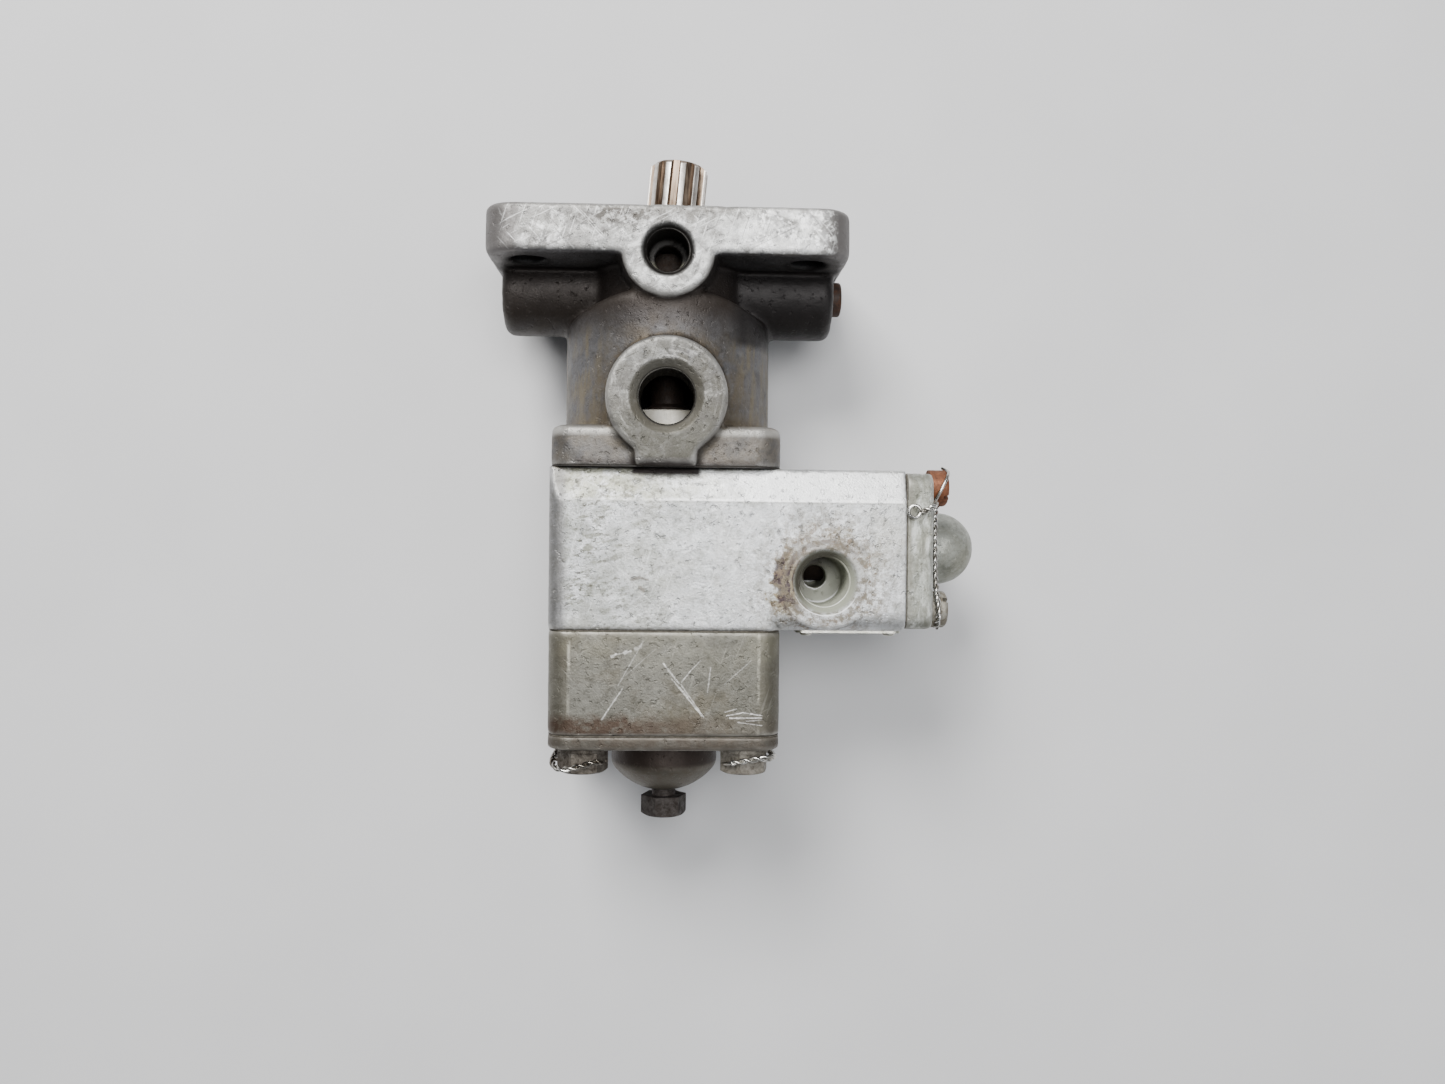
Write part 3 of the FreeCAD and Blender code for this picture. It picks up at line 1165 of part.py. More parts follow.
def relief_spring():
    """Coil spring between the relief poppet and its button."""
    return helix_spring(
        BUTTON_TOP_Y, SEAT_BOTTOM_Y - CONTACT_GAP - POPPET_FACE_THICK,
        RELIEF_SPRING_R, RELIEF_SPRING_WIRE_R, RELIEF_SPRING_TURNS,
    )


def relief_spring_button():
    """Button that the adjusting screw pushes up against the relief spring."""
    bottom = BUTTON_TOP_Y - BUTTON_THICK
    button = turned_y([
        (0, bottom), (BUTTON_R - 0.8, bottom), (BUTTON_R, bottom + 0.8), (BUTTON_R, BUTTON_TOP_Y),
        (RELIEF_SPRING_R - 1.6, BUTTON_TOP_Y), (RELIEF_SPRING_R - 2.0, BUTTON_TOP_Y + 2.5),
        (0, BUTTON_TOP_Y + 2.5),
    ])
    return button


def adjusting_screw():
    """Hex head screw that sets the relief pressure."""
    head = hex_head_down(SCREW_HEAD_TOP_Y, SCREW_HEAD_BOTTOM_Y, SCREW_HEAD_ACROSS_FLATS, 0, 0)
    head.rotate(ORIGIN, Y_AXIS, SCREW_HEAD_TURN_DEG)
    low_y = SCREW_HEAD_TOP_Y - 0.5
    high_y = BUTTON_TOP_Y - BUTTON_THICK - CONTACT_GAP
    point = 1.2
    shank = turned_y([
        (0, low_y), (SCREW_R, low_y), (SCREW_R, high_y - point), (SCREW_R - point, high_y), (0, high_y),
    ])
    return joined([head, shank])


def screw_packing():
    """O-ring that seals the adjusting screw in the cover."""
    return Part.makeTorus(
        SCREW_R + RUNNING_GAP + PACKING_WIRE_R, PACKING_WIRE_R, Vector(0, PACKING_Y, 0), Y_AXIS
    )


def locating_dowels():
    """The dowels that line up the three blocks, a little short of their holes."""
    half = DOWEL_HALF_LONG - 0.2
    return [
        rod_y(level - half, level + half, DOWEL_R, x)
        for level in (COLLAR_BOTTOM_Y, BLOCK_BOTTOM_Y)
        for x in (DOWEL_AT_X, -DOWEL_AT_X)
    ]


def save(name, solids):
    """Write one node's solid, or its group of separate solids, to its STEP file."""
    if not isinstance(solids, list):
        solids = [solids]
    bodies = [body for solid in solids for body in solid.Solids]
    shape = bodies[0] if len(bodies) == 1 else Part.makeCompound(bodies)
    shape.exportStep("parts/" + name + ".step")


NODES = {
    "drive_housing": drive_housing(),
    "pump_block": pump_block(),
    "relief_housing": relief_housing(),
    "relief_cover": relief_cover(),
    "regulator_cover": regulator_cover(),
    "housing_gasket": stack_gasket(COLLAR_BOTTOM_Y, COLLAR_CORNER, PUMP_BORE_R, True),
    "block_gasket": stack_gasket(BLOCK_BOTTOM_Y, RELIEF_CORNER, DISCHARGE_R, True),
    "relief_gasket": stack_gasket(RELIEF_BOTTOM_Y, COVER_CORNER, RELIEF_BORE_R, False),
    "regulator_gasket": regulator_gasket(),
    "through_bolts": through_bolts(),
    "bolt_washers": bolt_washers(),
    "regulator_screws": regulator_screws(),
    "lockwire_right": bolt_lockwire(1),
    "lockwire_left": bolt_lockwire(-1),
    "lockwire_side": side_lockwire(),
    "drain_plug_right": drain_plug(1, PLUG_RIGHT_PROUD),
    "drain_plug_left": drain_plug(-1, -PLUG_LEFT_SUNK),
    "data_plate": data_plate(),
    "plate_rivets": plate_rivets(),
    "drive_coupling": drive_coupling(),
    "coupling_pin": coupling_pin(),
    "rotor_shaft": rotor_shaft(),
    "rotor_key": key_block(0.0),
    "bearing_outer_race": bearing_outer_race(),
    "bearing_inner_race": bearing_inner_race(),
    "bearing_balls": bearing_balls(),
    "bearing_cage": bearing_cage(),
    "shaft_seal_case": shaft_seal_case(),
    "shaft_seal_lip": shaft_seal_lip(),
    "seal_spring": seal_spring_ring(0.0),
    "seal_retaining_ring": seal_retaining_ring(),
    "inner_rotor": inner_rotor(),
    "outer_rotor": outer_rotor(),
    "eccentric_ring": eccentric_ring(),
    "port_plate_upper": port_plate_upper(),
    "port_plate_lower": port_plate_lower(),
    "shaft_bush_upper": ring_y(
        PLATE_FLANGE_BOTTOM_Y, UPPER_HUB_TOP_Y - 0.5, SHAFT_JOURNAL_R + RUNNING_GAP, BUSH_R
    ),
    "shaft_bush_lower": ring_y(LOWER_PLATE_BOTTOM_Y, ROTOR_BOTTOM_Y, SHAFT_JOURNAL_R + RUNNING_GAP, BUSH_R),
    "rotor_set_pin": set_pin_hole(),
    "locating_dowels": locating_dowels(),
    "regulator_sleeve": regulator_sleeve(),
    "regulator_piston": regulator_piston(),
    "regulator_spring": regulator_spring(),
    "regulator_spring_seat": regulator_spring_seat(),
    "relief_seat": relief_seat(),
    "relief_poppet": relief_poppet(),
    "relief_spring": relief_spring(),
    "relief_spring_button": relief_spring_button(),
    "adjusting_screw": adjusting_screw(),
    "screw_packing": screw_packing(),
}

os.makedirs("parts", exist_ok=True)
for node_name, node_shape in NODES.items():
    save(node_name, node_shape)
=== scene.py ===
"""Looks of the rotary pump: weathered castings, threaded ports, twisted safety wire and worn steel."""
import json
import math

import bpy
import numpy as np
from mathutils import Matrix, Vector
from mathutils.bvhtree import BVHTree


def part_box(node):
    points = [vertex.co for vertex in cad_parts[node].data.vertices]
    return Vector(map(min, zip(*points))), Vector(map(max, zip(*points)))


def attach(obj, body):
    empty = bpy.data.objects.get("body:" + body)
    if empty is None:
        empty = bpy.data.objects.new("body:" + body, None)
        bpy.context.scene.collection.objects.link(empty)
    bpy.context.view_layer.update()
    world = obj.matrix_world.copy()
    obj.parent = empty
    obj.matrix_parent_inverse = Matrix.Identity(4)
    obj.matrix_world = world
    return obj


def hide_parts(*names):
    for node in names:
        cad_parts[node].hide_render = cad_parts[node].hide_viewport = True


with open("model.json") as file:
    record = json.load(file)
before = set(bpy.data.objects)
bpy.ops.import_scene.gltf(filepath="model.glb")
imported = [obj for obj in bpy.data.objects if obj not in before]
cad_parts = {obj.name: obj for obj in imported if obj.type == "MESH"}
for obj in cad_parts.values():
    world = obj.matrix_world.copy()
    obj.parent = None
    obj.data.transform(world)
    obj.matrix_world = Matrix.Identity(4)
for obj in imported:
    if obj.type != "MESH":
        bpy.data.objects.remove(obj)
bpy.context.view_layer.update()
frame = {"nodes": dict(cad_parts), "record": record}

MM = 0.001
NODES = frame["nodes"]
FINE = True

# ---- places from the frame, in millimetres ----


def box_mm(*nodes):
    """The low and high corners of CAD nodes."""
    low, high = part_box(*nodes)
    return Vector(low) / MM, Vector(high) / MM


HOUSING_LOW, HOUSING_HIGH = box_mm("drive_housing")
BLOCK_LOW, BLOCK_HIGH = box_mm("pump_block")
RELIEF_LOW, RELIEF_HIGH = box_mm("relief_housing")
COVER_LOW, COVER_HIGH = box_mm("regulator_cover")
SCREWS_LOW, SCREWS_HIGH = box_mm("regulator_screws")
BOLTS_LOW, BOLTS_HIGH = box_mm("through_bolts")
MOUNTS = {mount["name"]: mount for mount in frame["record"]["mounts"]}
INLET, OUTLET, DRAIN = (
    Vector(MOUNTS[port]["pos_m"]) / MM for port in ("inlet_port", "outlet_port", "drain_port")
)
HOLES = [MOUNTS["mounting_bolts"]["dims"][key] for key in ("spacing_x_mm", "spacing_y_mm")]
FRONT_Z = BLOCK_HIGH.z
REGULATOR_Y = (SCREWS_LOW.y + SCREWS_HIGH.y) / 2
SCREW_HEAD_R = 4.65          # radius of a side cover screw's head
SCREW_Z = 20.0
UPPER_SCREW_Y = SCREWS_HIGH.y - SCREW_HEAD_R
LOWER_SCREW_Y = SCREWS_LOW.y + SCREW_HEAD_R


# ---- vectorised noise for surface relief ----

HASH_FACTORS = (73856093, 19349663, 83492791, 2654435761, 1274126177)    # large odd numbers that mix well


def hashed(cells, seed):
    """A number from -1 to 1 for each integer cell, always the same for the same seed."""
    first, second, third, of_seed, last = HASH_FACTORS
    mixed = (cells[:, 0] * first) ^ (cells[:, 1] * second) ^ (cells[:, 2] * third) ^ (seed * of_seed)
    mixed = (mixed ^ (mixed >> 13)) * last
    mixed = (mixed ^ (mixed >> 16)) & 0xFFFFFF
    return mixed / float(0x7FFFFF) - 1.0


def value_noise(points, size, seed):
    """Smooth noise from -1 to 1 with features of the given size, at points in the same unit."""
    scaled = points / size
    base = np.floor(scaled).astype(np.int64)
    part = scaled - base
    part = part * part * (3 - 2 * part)
    total = np.zeros(len(points))
    for corner in range(8):
        step = np.array([corner & 1, (corner >> 1) & 1, (corner >> 2) & 1])
        weight = np.prod(np.where(step == 1, part, 1 - part), axis=1)
        total += weight * hashed(base + step, seed)
    return total


def fractal(points, size, octaves, seed):
    """A few octaves of value noise."""
    total = np.zeros(len(points))
    for octave in range(octaves):
        total += value_noise(points, size / 2 ** octave, seed + 17 * octave) / 2 ** octave
    return total


# ---- mesh helpers ----

def read_values(items, field, width, kind=float):
    """A field of a mesh's points or edges as an array with one row each."""
    flat = np.empty(len(items) * width, dtype=kind)
    items.foreach_get(field, flat)
    return flat.reshape(-1, width)


def set_coordinates(mesh, points):
    """Moves the mesh's points, given in millimetres."""
    mesh.vertices.foreach_set("co", (points * MM).ravel())
    mesh.update()


def neighbour_mean(values, pairs, counts):
    """The mean over each point's neighbours, of one or more numbers per point."""
    columns = values.reshape(len(values), -1)
    total = np.empty_like(columns)
    for column in range(columns.shape[1]):
        total[:, column] = np.bincount(pairs[:, 0], columns[pairs[:, 1], column], len(values))
        total[:, column] += np.bincount(pairs[:, 1], columns[pairs[:, 0], column], len(values))
    return (total / counts[:, None]).reshape(values.shape)


def store(mesh, name, values):
    """Keeps one number per point as a named attribute."""
    attribute = mesh.attributes.new(name, "FLOAT", "POINT")
    attribute.data.foreach_set("value", values.astype(np.float32))


def new_piece(name, mesh, slot, material, *replaced):
    """Links a mesh as a smooth piece of the fixed body that may stand for CAD nodes."""
    piece = bpy.data.objects.new(name, mesh)
    bpy.context.scene.collection.objects.link(piece)
    mesh.materials.clear()
    mesh.materials.append(material)
    mesh.polygons.foreach_set("use_smooth", [True] * len(mesh.polygons))
    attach(piece, "root")
    if replaced:
        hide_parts(*replaced)


def mesh_of(name, points, faces):
    """A mesh from points in millimetres."""
    mesh = bpy.data.meshes.new(name)
    mesh.from_pydata([tuple(point) for point in np.asarray(points) * MM], [], faces)
    mesh.update()
    return mesh


# ---- castings ----

SMOOTH_PASSES = 14           # passes that round the edges and fill the corners
BROAD_PASSES = 60            # smoothing passes that find the sheltered corners
BROAD_PULL = 0.7
BROAD_FULL = 0.8             # how far a fully sheltered place moves in them
EDGE_FULL = 0.28             # how far a fully worn edge or filled corner moves
FIRM_SHARE = 0.85            # how much of the rounding a machined place is spared
QUICK_VOXEL = 1.6            # how much coarser a quick skin is
GRAIN_SIZE = 2.4
NICK_REACH = 0.9
NICK_DEPTH = 0.22
SEAM_FADE = 0.4              # width over which a machined joint face gives way to the cast side
JOINT_BAND = 0.5             # how far from a joint face its machined part reaches
THIN_BAND = 0.4
ARM_SEAM_SHARE = 0.6
SHAFT_BORE_R = 18.2          # machined places: radii round the bores and ports, and where they start or end
INLET_SEAT_R = 9.5
DRAIN_SEAT_R = 7.2
OUTLET_SEAT_R = 8.8
PORTS_LOW_Z = 10
OUTLET_LOW_Z = 5
CHAMBER_R = 22
CHAMBER_HIGH_Z = 24
ARM_BORE_R = 10
ARM_BORE_LOW_X = 26
STACK_HIGH_X = 27
RELIEF_BORE_R = 11.5
DOME_LOW_Y = -146
REGULATOR_BORE_R = 7.5
REGULATOR_HIGH_X = 77


def remeshed(node, voxel):
    """A fine even mesh of a CAD node."""
    copy = bpy.data.objects.new(node + "_remesh", NODES[node].data.copy())
    bpy.context.scene.collection.objects.link(copy)
    remesh = copy.modifiers.new("even", "REMESH")
    remesh.mode = "VOXEL"
    remesh.voxel_size = voxel * MM
    depsgraph = bpy.context.evaluated_depsgraph_get()
    mesh = bpy.data.meshes.new_from_object(copy.evaluated_get(depsgraph))
    bpy.data.objects.remove(copy)
    return mesh


def snapped(points, node):
    """The points moved to the nearest place on the CAD node's own surface."""
    mesh = NODES[node].data
    mesh.calc_loop_triangles()
    corners = [vertex.co for vertex in mesh.vertices]
    tree = BVHTree.FromPolygons(corners, [tuple(tri.vertices) for tri in mesh.loop_triangles])
    moved = points.copy()
    for index, point in enumerate(points):
        moved[index] = np.array(tree.find_nearest(Vector(point) * MM)[0]) / MM
    return moved


def dent(points, normals, edge, rng, count):
    """Small nicks pressed into the exposed edges."""
    candidates = np.flatnonzero(edge > 0.35)
    if len(candidates) == 0:
        return points
    moved = points.copy()
    for spot in rng.choice(candidates, count):
        size = rng.uniform(0.5, 1.0) * NICK_REACH
        away = np.linalg.norm(points - points[spot], axis=1)
        hit = np.exp(-(away / size) ** 2)
        moved -= normals[spot] * (hit * NICK_DEPTH * rng.uniform(0.4, 1.0))[:, None]
    return moved


def casting_skin(node, material, slot, voxel, convex, concave, grain, nicks, firm, seed):
    """A casting with rounded edges, filled corners, a grained surface and nicked edges.

    firm gives, for points in millimetres, how far each must keep its machined shape, from 0 to 1.
    """
    mesh = remeshed(node, voxel if FINE else voxel * QUICK_VOXEL)
    points = snapped(read_values(mesh.vertices, "co", 3) / MM, node)
    set_coordinates(mesh, points)
    pairs = read_values(mesh.edges, "vertices", 2, np.int64)
    counts = np.maximum(np.bincount(pairs.ravel(), minlength=len(points)), 1)
    kept = firm(points)
    normals = read_values(mesh.vertices, "normal", 3)
    start = points.copy()
    for _ in range(SMOOTH_PASSES if FINE else SMOOTH_PASSES // 2):
        pull = neighbour_mean(points, pairs, counts) - points
        outward = np.einsum("ij,ij->i", pull, normals)
        weight = np.where(outward > 0, concave, convex) * (1 - FIRM_SHARE * kept)
        points = points + pull * weight[:, None]
    set_coordinates(mesh, points)
    normals = read_values(mesh.vertices, "normal", 3)
    drop = np.einsum("ij,ij->i", start - points, normals)
    edge = np.clip(drop / EDGE_FULL, 0, 1)
    hollow = np.clip(-drop / EDGE_FULL, 0, 1)
    for _ in range(2):
        edge = (edge + neighbour_mean(edge, pairs, counts)) / 2
        hollow = (hollow + neighbour_mean(hollow, pairs, counts)) / 2
    free = 1 - kept
    points = points + normals * (fractal(points, GRAIN_SIZE, 3, seed) * grain * free)[:, None]
    points = dent(points, normals, edge * free, np.random.default_rng(seed), nicks)
    set_coordinates(mesh, points)
    broad = points.copy()
    for _ in range(BROAD_PASSES if FINE else BROAD_PASSES // 3):
        broad += BROAD_PULL * (neighbour_mean(broad, pairs, counts) - broad)
    shelter = np.einsum("ij,ij->i", broad - points, read_values(mesh.vertices, "normal", 3))
    store(mesh, "edge", edge)
    store(mesh, "hollow", hollow)
    store(mesh, "shelter", np.clip(shelter / BROAD_FULL, 0, 1))
    new_piece(node + "_casting", mesh, slot, material, node)


def near_axis(points, centre, radius, soft=0.6):
    """1 within a radius of a line along Z through the centre, falling to 0 just outside."""
    away = np.hypot(points[:, 0] - centre[0], points[:, 1] - centre[1])
    return np.clip((radius + soft - away) / soft, 0, 1)


def near_low(values, face, band):
    """1 at a face that ends the piece on its low side, 0 beyond the band."""
    return np.clip((face + band - values) / SEAM_FADE, 0, 1)


def near_high(values, face, band):
    """1 at a face that ends the piece on its high side, 0 beyond the band."""
    return np.clip((values - face + band) / SEAM_FADE, 0, 1)


def housing_firm(points):
    """Where the upper casting is machined: ports, shaft bore, mounting face and joint face."""
    inside = np.hypot(points[:, 0], points[:, 2]) < SHAFT_BORE_R
    ports = np.maximum(near_axis(points, INLET, INLET_SEAT_R), near_axis(points, DRAIN, DRAIN_SEAT_R))
    ports *= points[:, 2] > PORTS_LOW_Z
    return np.maximum.reduce([inside * 1.0, ports, near_low(points[:, 1], HOUSING_LOW.y, JOINT_BAND)])


def block_firm(points):
    """Where the middle block is machined: bores, the outlet port and the joint faces."""
    inside = (np.hypot(points[:, 0], points[:, 2]) < CHAMBER_R) & (points[:, 2] < CHAMBER_HIGH_Z)
    arm_bore = np.hypot(points[:, 1] - REGULATOR_Y, points[:, 2]) < ARM_BORE_R
    arm_bore = arm_bore & (points[:, 0] > ARM_BORE_LOW_X)
    port = near_axis(points, OUTLET, OUTLET_SEAT_R) * (points[:, 2] > OUTLET_LOW_Z)
    stack = points[:, 0] < STACK_HIGH_X
    top = near_high(points[:, 1], BLOCK_HIGH.y, JOINT_BAND) * stack
    bottom = near_low(points[:, 1], BLOCK_LOW.y, JOINT_BAND) * stack
    seam = near_high(points[:, 0], BLOCK_HIGH.x, JOINT_BAND) * ARM_SEAM_SHARE
    return np.maximum.reduce([inside * 1.0, arm_bore * 1.0, port, top, bottom, seam])


def stack_firm(node):
    """Where a lower casting is machined: its upper joint face and the bore."""
    face = box_mm(node)[1].y

    def firm(points):
        inside = (np.hypot(points[:, 0], points[:, 2]) < RELIEF_BORE_R) & (points[:, 1] > DOME_LOW_Y)
        return np.maximum(inside * 1.0, near_high(points[:, 1], face, THIN_BAND))

    return firm


def side_cover_firm(points):
    """Where the side cover is machined: its inside and the gasket face."""
    inside = np.hypot(points[:, 1] - REGULATOR_Y, points[:, 2]) < REGULATOR_BORE_R
    inside = inside & (points[:, 0] < REGULATOR_HIGH_X)
    return np.maximum(inside * 1.0, near_low(points[:, 0], COVER_LOW.x, THIN_BAND))


CASTINGS = (                 # node, paint, slot, voxel, convex and concave pull, grain, nicks, firm, seed
    ("drive_housing", "upper_casting", "upper_casting", 0.5, 0.42, 0.6, 0.05, 60, housing_firm, 11),
    ("pump_block", "block_casting", "block_casting", 0.5, 0.3, 0.4, 0.035, 30, block_firm, 23),
    ("relief_housing", "relief_casting", "relief_casting", 0.5, 0.3, 0.4, 0.03, 24,
     stack_firm("relief_housing"), 37),
    ("relief_cover", "cover_casting", "relief_casting", 0.4, 0.35, 0.5, 0.035, 20,
     stack_firm("relief_cover"), 41),
    ("regulator_cover", "side_casting", "side_casting", 0.4, 0.35, 0.5, 0.03, 18, side_cover_firm, 53),
)


# ---- threads ----

THREAD_PITCH = 25.4 / 18
THREAD_AROUND = 120          # columns round a sleeve
THREAD_ROWS = 14             # rows in one turn
FLANK_SLOPE = 2.6            # how steeply the ridge rises and falls
SLEEVE_WALL = 0.25
SLEEVE_GAP = 0.03            # between the sleeve's root and the port's wall
THREADS = (                  # piece, mount, deep and outer end, height of the ridge, slot
    ("inlet_thread", "inlet_port", 17.5, HOUSING_HIGH.z - 2.0, 0.35, "upper_casting"),
    ("drain_thread", "drain_port", 18.4, FRONT_Z - 1.4, 0.35, "upper_casting"),
    ("outlet_thread", "outlet_port", 13.5, FRONT_Z - 2.6, 0.4, "block_casting"),
)


def thread_sleeve(name, mount, low_z, high_z, height, slot):
    """The cut thread that lines a port, as a thin closed sleeve with a helical ridge inside."""
    centre = Vector(MOUNTS[mount]["pos_m"]) / MM
    crest_r = MOUNTS[mount]["dims"]["r_mm"] - height
    root_r = MOUNTS[mount]["dims"]["r_mm"] - SLEEVE_GAP
    rows = int((high_z - low_z) / THREAD_PITCH * THREAD_ROWS)
    rings = [low_z + (high_z - low_z) * row / rows for row in range(rows + 1)] + [low_z, high_z]
    points = []
    for row, z in enumerate(rings):
        for column in range(THREAD_AROUND):
            turn = column / THREAD_AROUND
            ridge = min(1.0, FLANK_SLOPE * abs((z / THREAD_PITCH + turn) % 1.0 - 0.5))
            radius = crest_r + (root_r - crest_r) * ridge if row <= rows else root_r + SLEEVE_WALL
            angle = 2 * math.pi * turn
            points.append((centre.x + radius * math.cos(angle), centre.y + radius * math.sin(angle), z))
    faces = []
    top = rows * THREAD_AROUND
    base = top + THREAD_AROUND
    outer = base + THREAD_AROUND
    for row in range(rows):
        for column in range(THREAD_AROUND):
            a = row * THREAD_AROUND + column
            b = row * THREAD_AROUND + (column + 1) % THREAD_AROUND
            faces.append((a, a + THREAD_AROUND, b + THREAD_AROUND, b))
    for column in range(THREAD_AROUND):
        after = (column + 1) % THREAD_AROUND
        faces.append((base + column, base + after, outer + after, outer + column))
        faces.append((column, after, base + after, base + column))
        faces.append((top + after, top + column, outer + column, outer + after))
    new_piece(name, mesh_of(name, points, faces), slot, MATERIALS[slot])


# ---- safety wire ----

STRAND_R = 0.42              # strands and full twists of the wires over the bolts and over the side screws
LAY = 5.4
SIDE_STRAND_R = 0.4
SIDE_LAY = 3.8
RING_STRAND_R = 0.46         # the curled tail, drawn as one strand
STRAND_SIDES = 8
END_ROUND = (0.6, 0.55)      # how far a strand's end bulges and how wide it is there, as shares of its radius
BOLT_Z = 20.4                # bolt axes from the middle of the stack
BOLT_WIRES = (               # routes over the front bolt heads and round to the back ones
    ("lockwire_right", (
        (17.2, -138.4, 26.8), (20.0, -137.9, 27.3), (24.0, -137.3, 27.1), (27.2, -137.2, 25.2),
        (28.1, -137.6, 21.5), (28.0, -138.2, 14.0), (27.8, -138.6, 0.0), (28.0, -138.6, -14.0),
        (28.1, -138.8, -21.0), (26.6, -139.0, -26.2), (22.0, -139.2, -27.4), (17.0, -139.4, -26.8),
    )),
    ("lockwire_left", (
        (-16.2, -138.2, 26.8), (-18.2, -138.6, 27.3), (-21.6, -139.5, 27.3), (-25.4, -140.5, 26.2),
        (-28.0, -139.6, 22.5), (-28.1, -138.8, 17.0), (-27.8, -138.6, 0.0), (-28.0, -138.6, -14.0),
        (-28.1, -138.8, -21.0), (-26.6, -139.0, -26.2), (-22.0, -139.2, -27.4), (-17.0, -139.4, -26.8),
    )),
)
IN_HEAD = (                  # strands into and out of a front bolt's head, with Z from its axis
    (15.6, -138.9, 5.2), (15.2, -139.0, 3.0), (16.4, -139.0, 1.0),
)
OUT_OF_HEAD = ((28.0, -138.4, -6.0), (27.7, -138.9, -2.0), (26.8, -139.0, 0.0), (25.0, -139.0, 0.0))
SIDE_WIRE = Vector((COVER_LOW.x + 8.3, 0, SCREW_Z))
SIDE_DOWN = (                # X and Z from SIDE_WIRE, and Y from the screw named first
    (UPPER_SCREW_Y, 0.5, -4.4, 1.0), (UPPER_SCREW_Y, -0.1, -6.4, 2.2), (UPPER_SCREW_Y, -0.4, -11.0, 3.0),
    (LOWER_SCREW_Y, -0.4, 10.0, 3.2), (LOWER_SCREW_Y, -0.1, 5.0, 4.2), (LOWER_SCREW_Y, 0.2, 1.0, 5.4),
    (LOWER_SCREW_Y, 0.4, -2.6, 4.8), (LOWER_SCREW_Y, 0.4, -4.6, 2.0),
)
SIDE_OVER = (
    (UPPER_SCREW_Y, -1.0, -4.4, 3.0), (UPPER_SCREW_Y, -0.2, -2.4, 5.1), (UPPER_SCREW_Y, 1.2, 0.4, 5.4),
    (UPPER_SCREW_Y, 2.5, 2.8, 4.6), (UPPER_SCREW_Y, 3.3, 4.4, 2.0), (UPPER_SCREW_Y, 2.2, 5.2, -0.6),
)
SIDE_TAIL = (
    (UPPER_SCREW_Y, -0.6, -3.9, 4.6), (UPPER_SCREW_Y, -1.2, -4.5, 7.4),
    (UPPER_SCREW_Y, -2.4, -5.2, FRONT_Z + 0.8 - SCREW_Z),
    (UPPER_SCREW_Y, -4.2, -6.1, FRONT_Z + 0.9 - SCREW_Z),
)
RING = Vector((COVER_LOW.x + 1.3, UPPER_SCREW_Y - 6.3, FRONT_Z + 0.9))
RING_R = 1.55
RING_STEPS = 12
RING_TURN = (-8, -31)        # first angle and step, in degrees
RING_RISE = 0.06


def smooth_path(points, spacing):
    """Evenly spaced points of a smooth curve near the given ones, and their places along it."""
    curve = bpy.data.curves.new("path", "CURVE")
    curve.dimensions = "3D"
    spline = curve.splines.new("NURBS")
    spline.points.add(len(points) - 1)
    for point, place in zip(spline.points, points):
        point.co = (*place, 1.0)
    spline.order_u = 3
    spline.use_endpoint_u = True
    curve.resolution_u = 24
    holder = bpy.data.objects.new("path", curve)
    bpy.context.scene.collection.objects.link(holder)
    bpy.context.view_layer.update()
    depsgraph = bpy.context.evaluated_depsgraph_get()
    mesh = bpy.data.meshes.new_from_object(holder.evaluated_get(depsgraph))
    line = np.array([vertex.co for vertex in mesh.vertices])
    bpy.data.objects.remove(holder)
    bpy.data.meshes.remove(mesh)
    bpy.data.curves.remove(curve)
    along = np.concatenate([[0], np.cumsum(np.linalg.norm(np.diff(line, axis=0), axis=1))])
    places = np.linspace(0, along[-1], max(int(along[-1] / spacing), 4))
    return np.stack([np.interp(places, along, line[:, axis]) for axis in range(3)], axis=1), places


def unit(vector):
    """The same direction with length 1."""
    return vector / np.linalg.norm(vector)


def frames_along(line):
    """Two directions across the line at each of its points, without twisting."""
    tangents = np.gradient(line, axis=0)
    tangents /= np.linalg.norm(tangents, axis=1)[:, None]
    side = unit(np.cross(tangents[0], [0.31, 0.17, 0.93]))
    sides = []
    for tangent in tangents:
        side = unit(side - tangent * np.dot(side, tangent))
        sides.append(side)
    sides = np.array(sides)
    return sides, np.cross(tangents, sides)


def tube(line, radius):
    """Points and faces of a round tube along a line, closed with rounded ends."""
    across, up = frames_along(line)
    bulge, share = END_ROUND
    last = len(line) - 1
    rings = [(line[0] - unit(line[1] - line[0]) * radius * bulge, share, 0)]
    rings += [(line[index], 1.0, index) for index in range(len(line))]
    rings.append((line[last] + unit(line[last] - line[last - 1]) * radius * bulge, share, last))
    points = []
    for centre, share, index in rings:
        for step in range(STRAND_SIDES):
            angle = 2 * math.pi * step / STRAND_SIDES
            offset = across[index] * math.cos(angle) + up[index] * math.sin(angle)
            points.append(centre + offset * radius * share)
    faces = []
    for ring in range(len(rings) - 1):
        for step in range(STRAND_SIDES):
            a = ring * STRAND_SIDES + step
            b = ring * STRAND_SIDES + (step + 1) % STRAND_SIDES
            faces.append((a, b, b + STRAND_SIDES, a + STRAND_SIDES))
    faces.append(tuple(range(STRAND_SIDES))[::-1])
    base = (len(rings) - 1) * STRAND_SIDES
    faces.append(tuple(range(base, base + STRAND_SIDES)))
    return points, faces


def twisted_pair(route, strand_r, twist_length, start_turn=0.0):
    """Two strands twisted round each other along a route."""
    line, places = smooth_path(route, 0.16)
    across, up = frames_along(line)
    strands = []
    for strand in (0, 1):
        angle = 2 * math.pi * places / twist_length + math.pi * strand + start_turn
        offset = across * np.cos(angle)[:, None] + up * np.sin(angle)[:, None]
        strands.append(tube(line + offset * strand_r * 0.98, strand_r))
    return strands


def single_strand(route, strand_r):
    """One strand along a route."""
    return [tube(smooth_path(route, 0.2)[0], strand_r)]


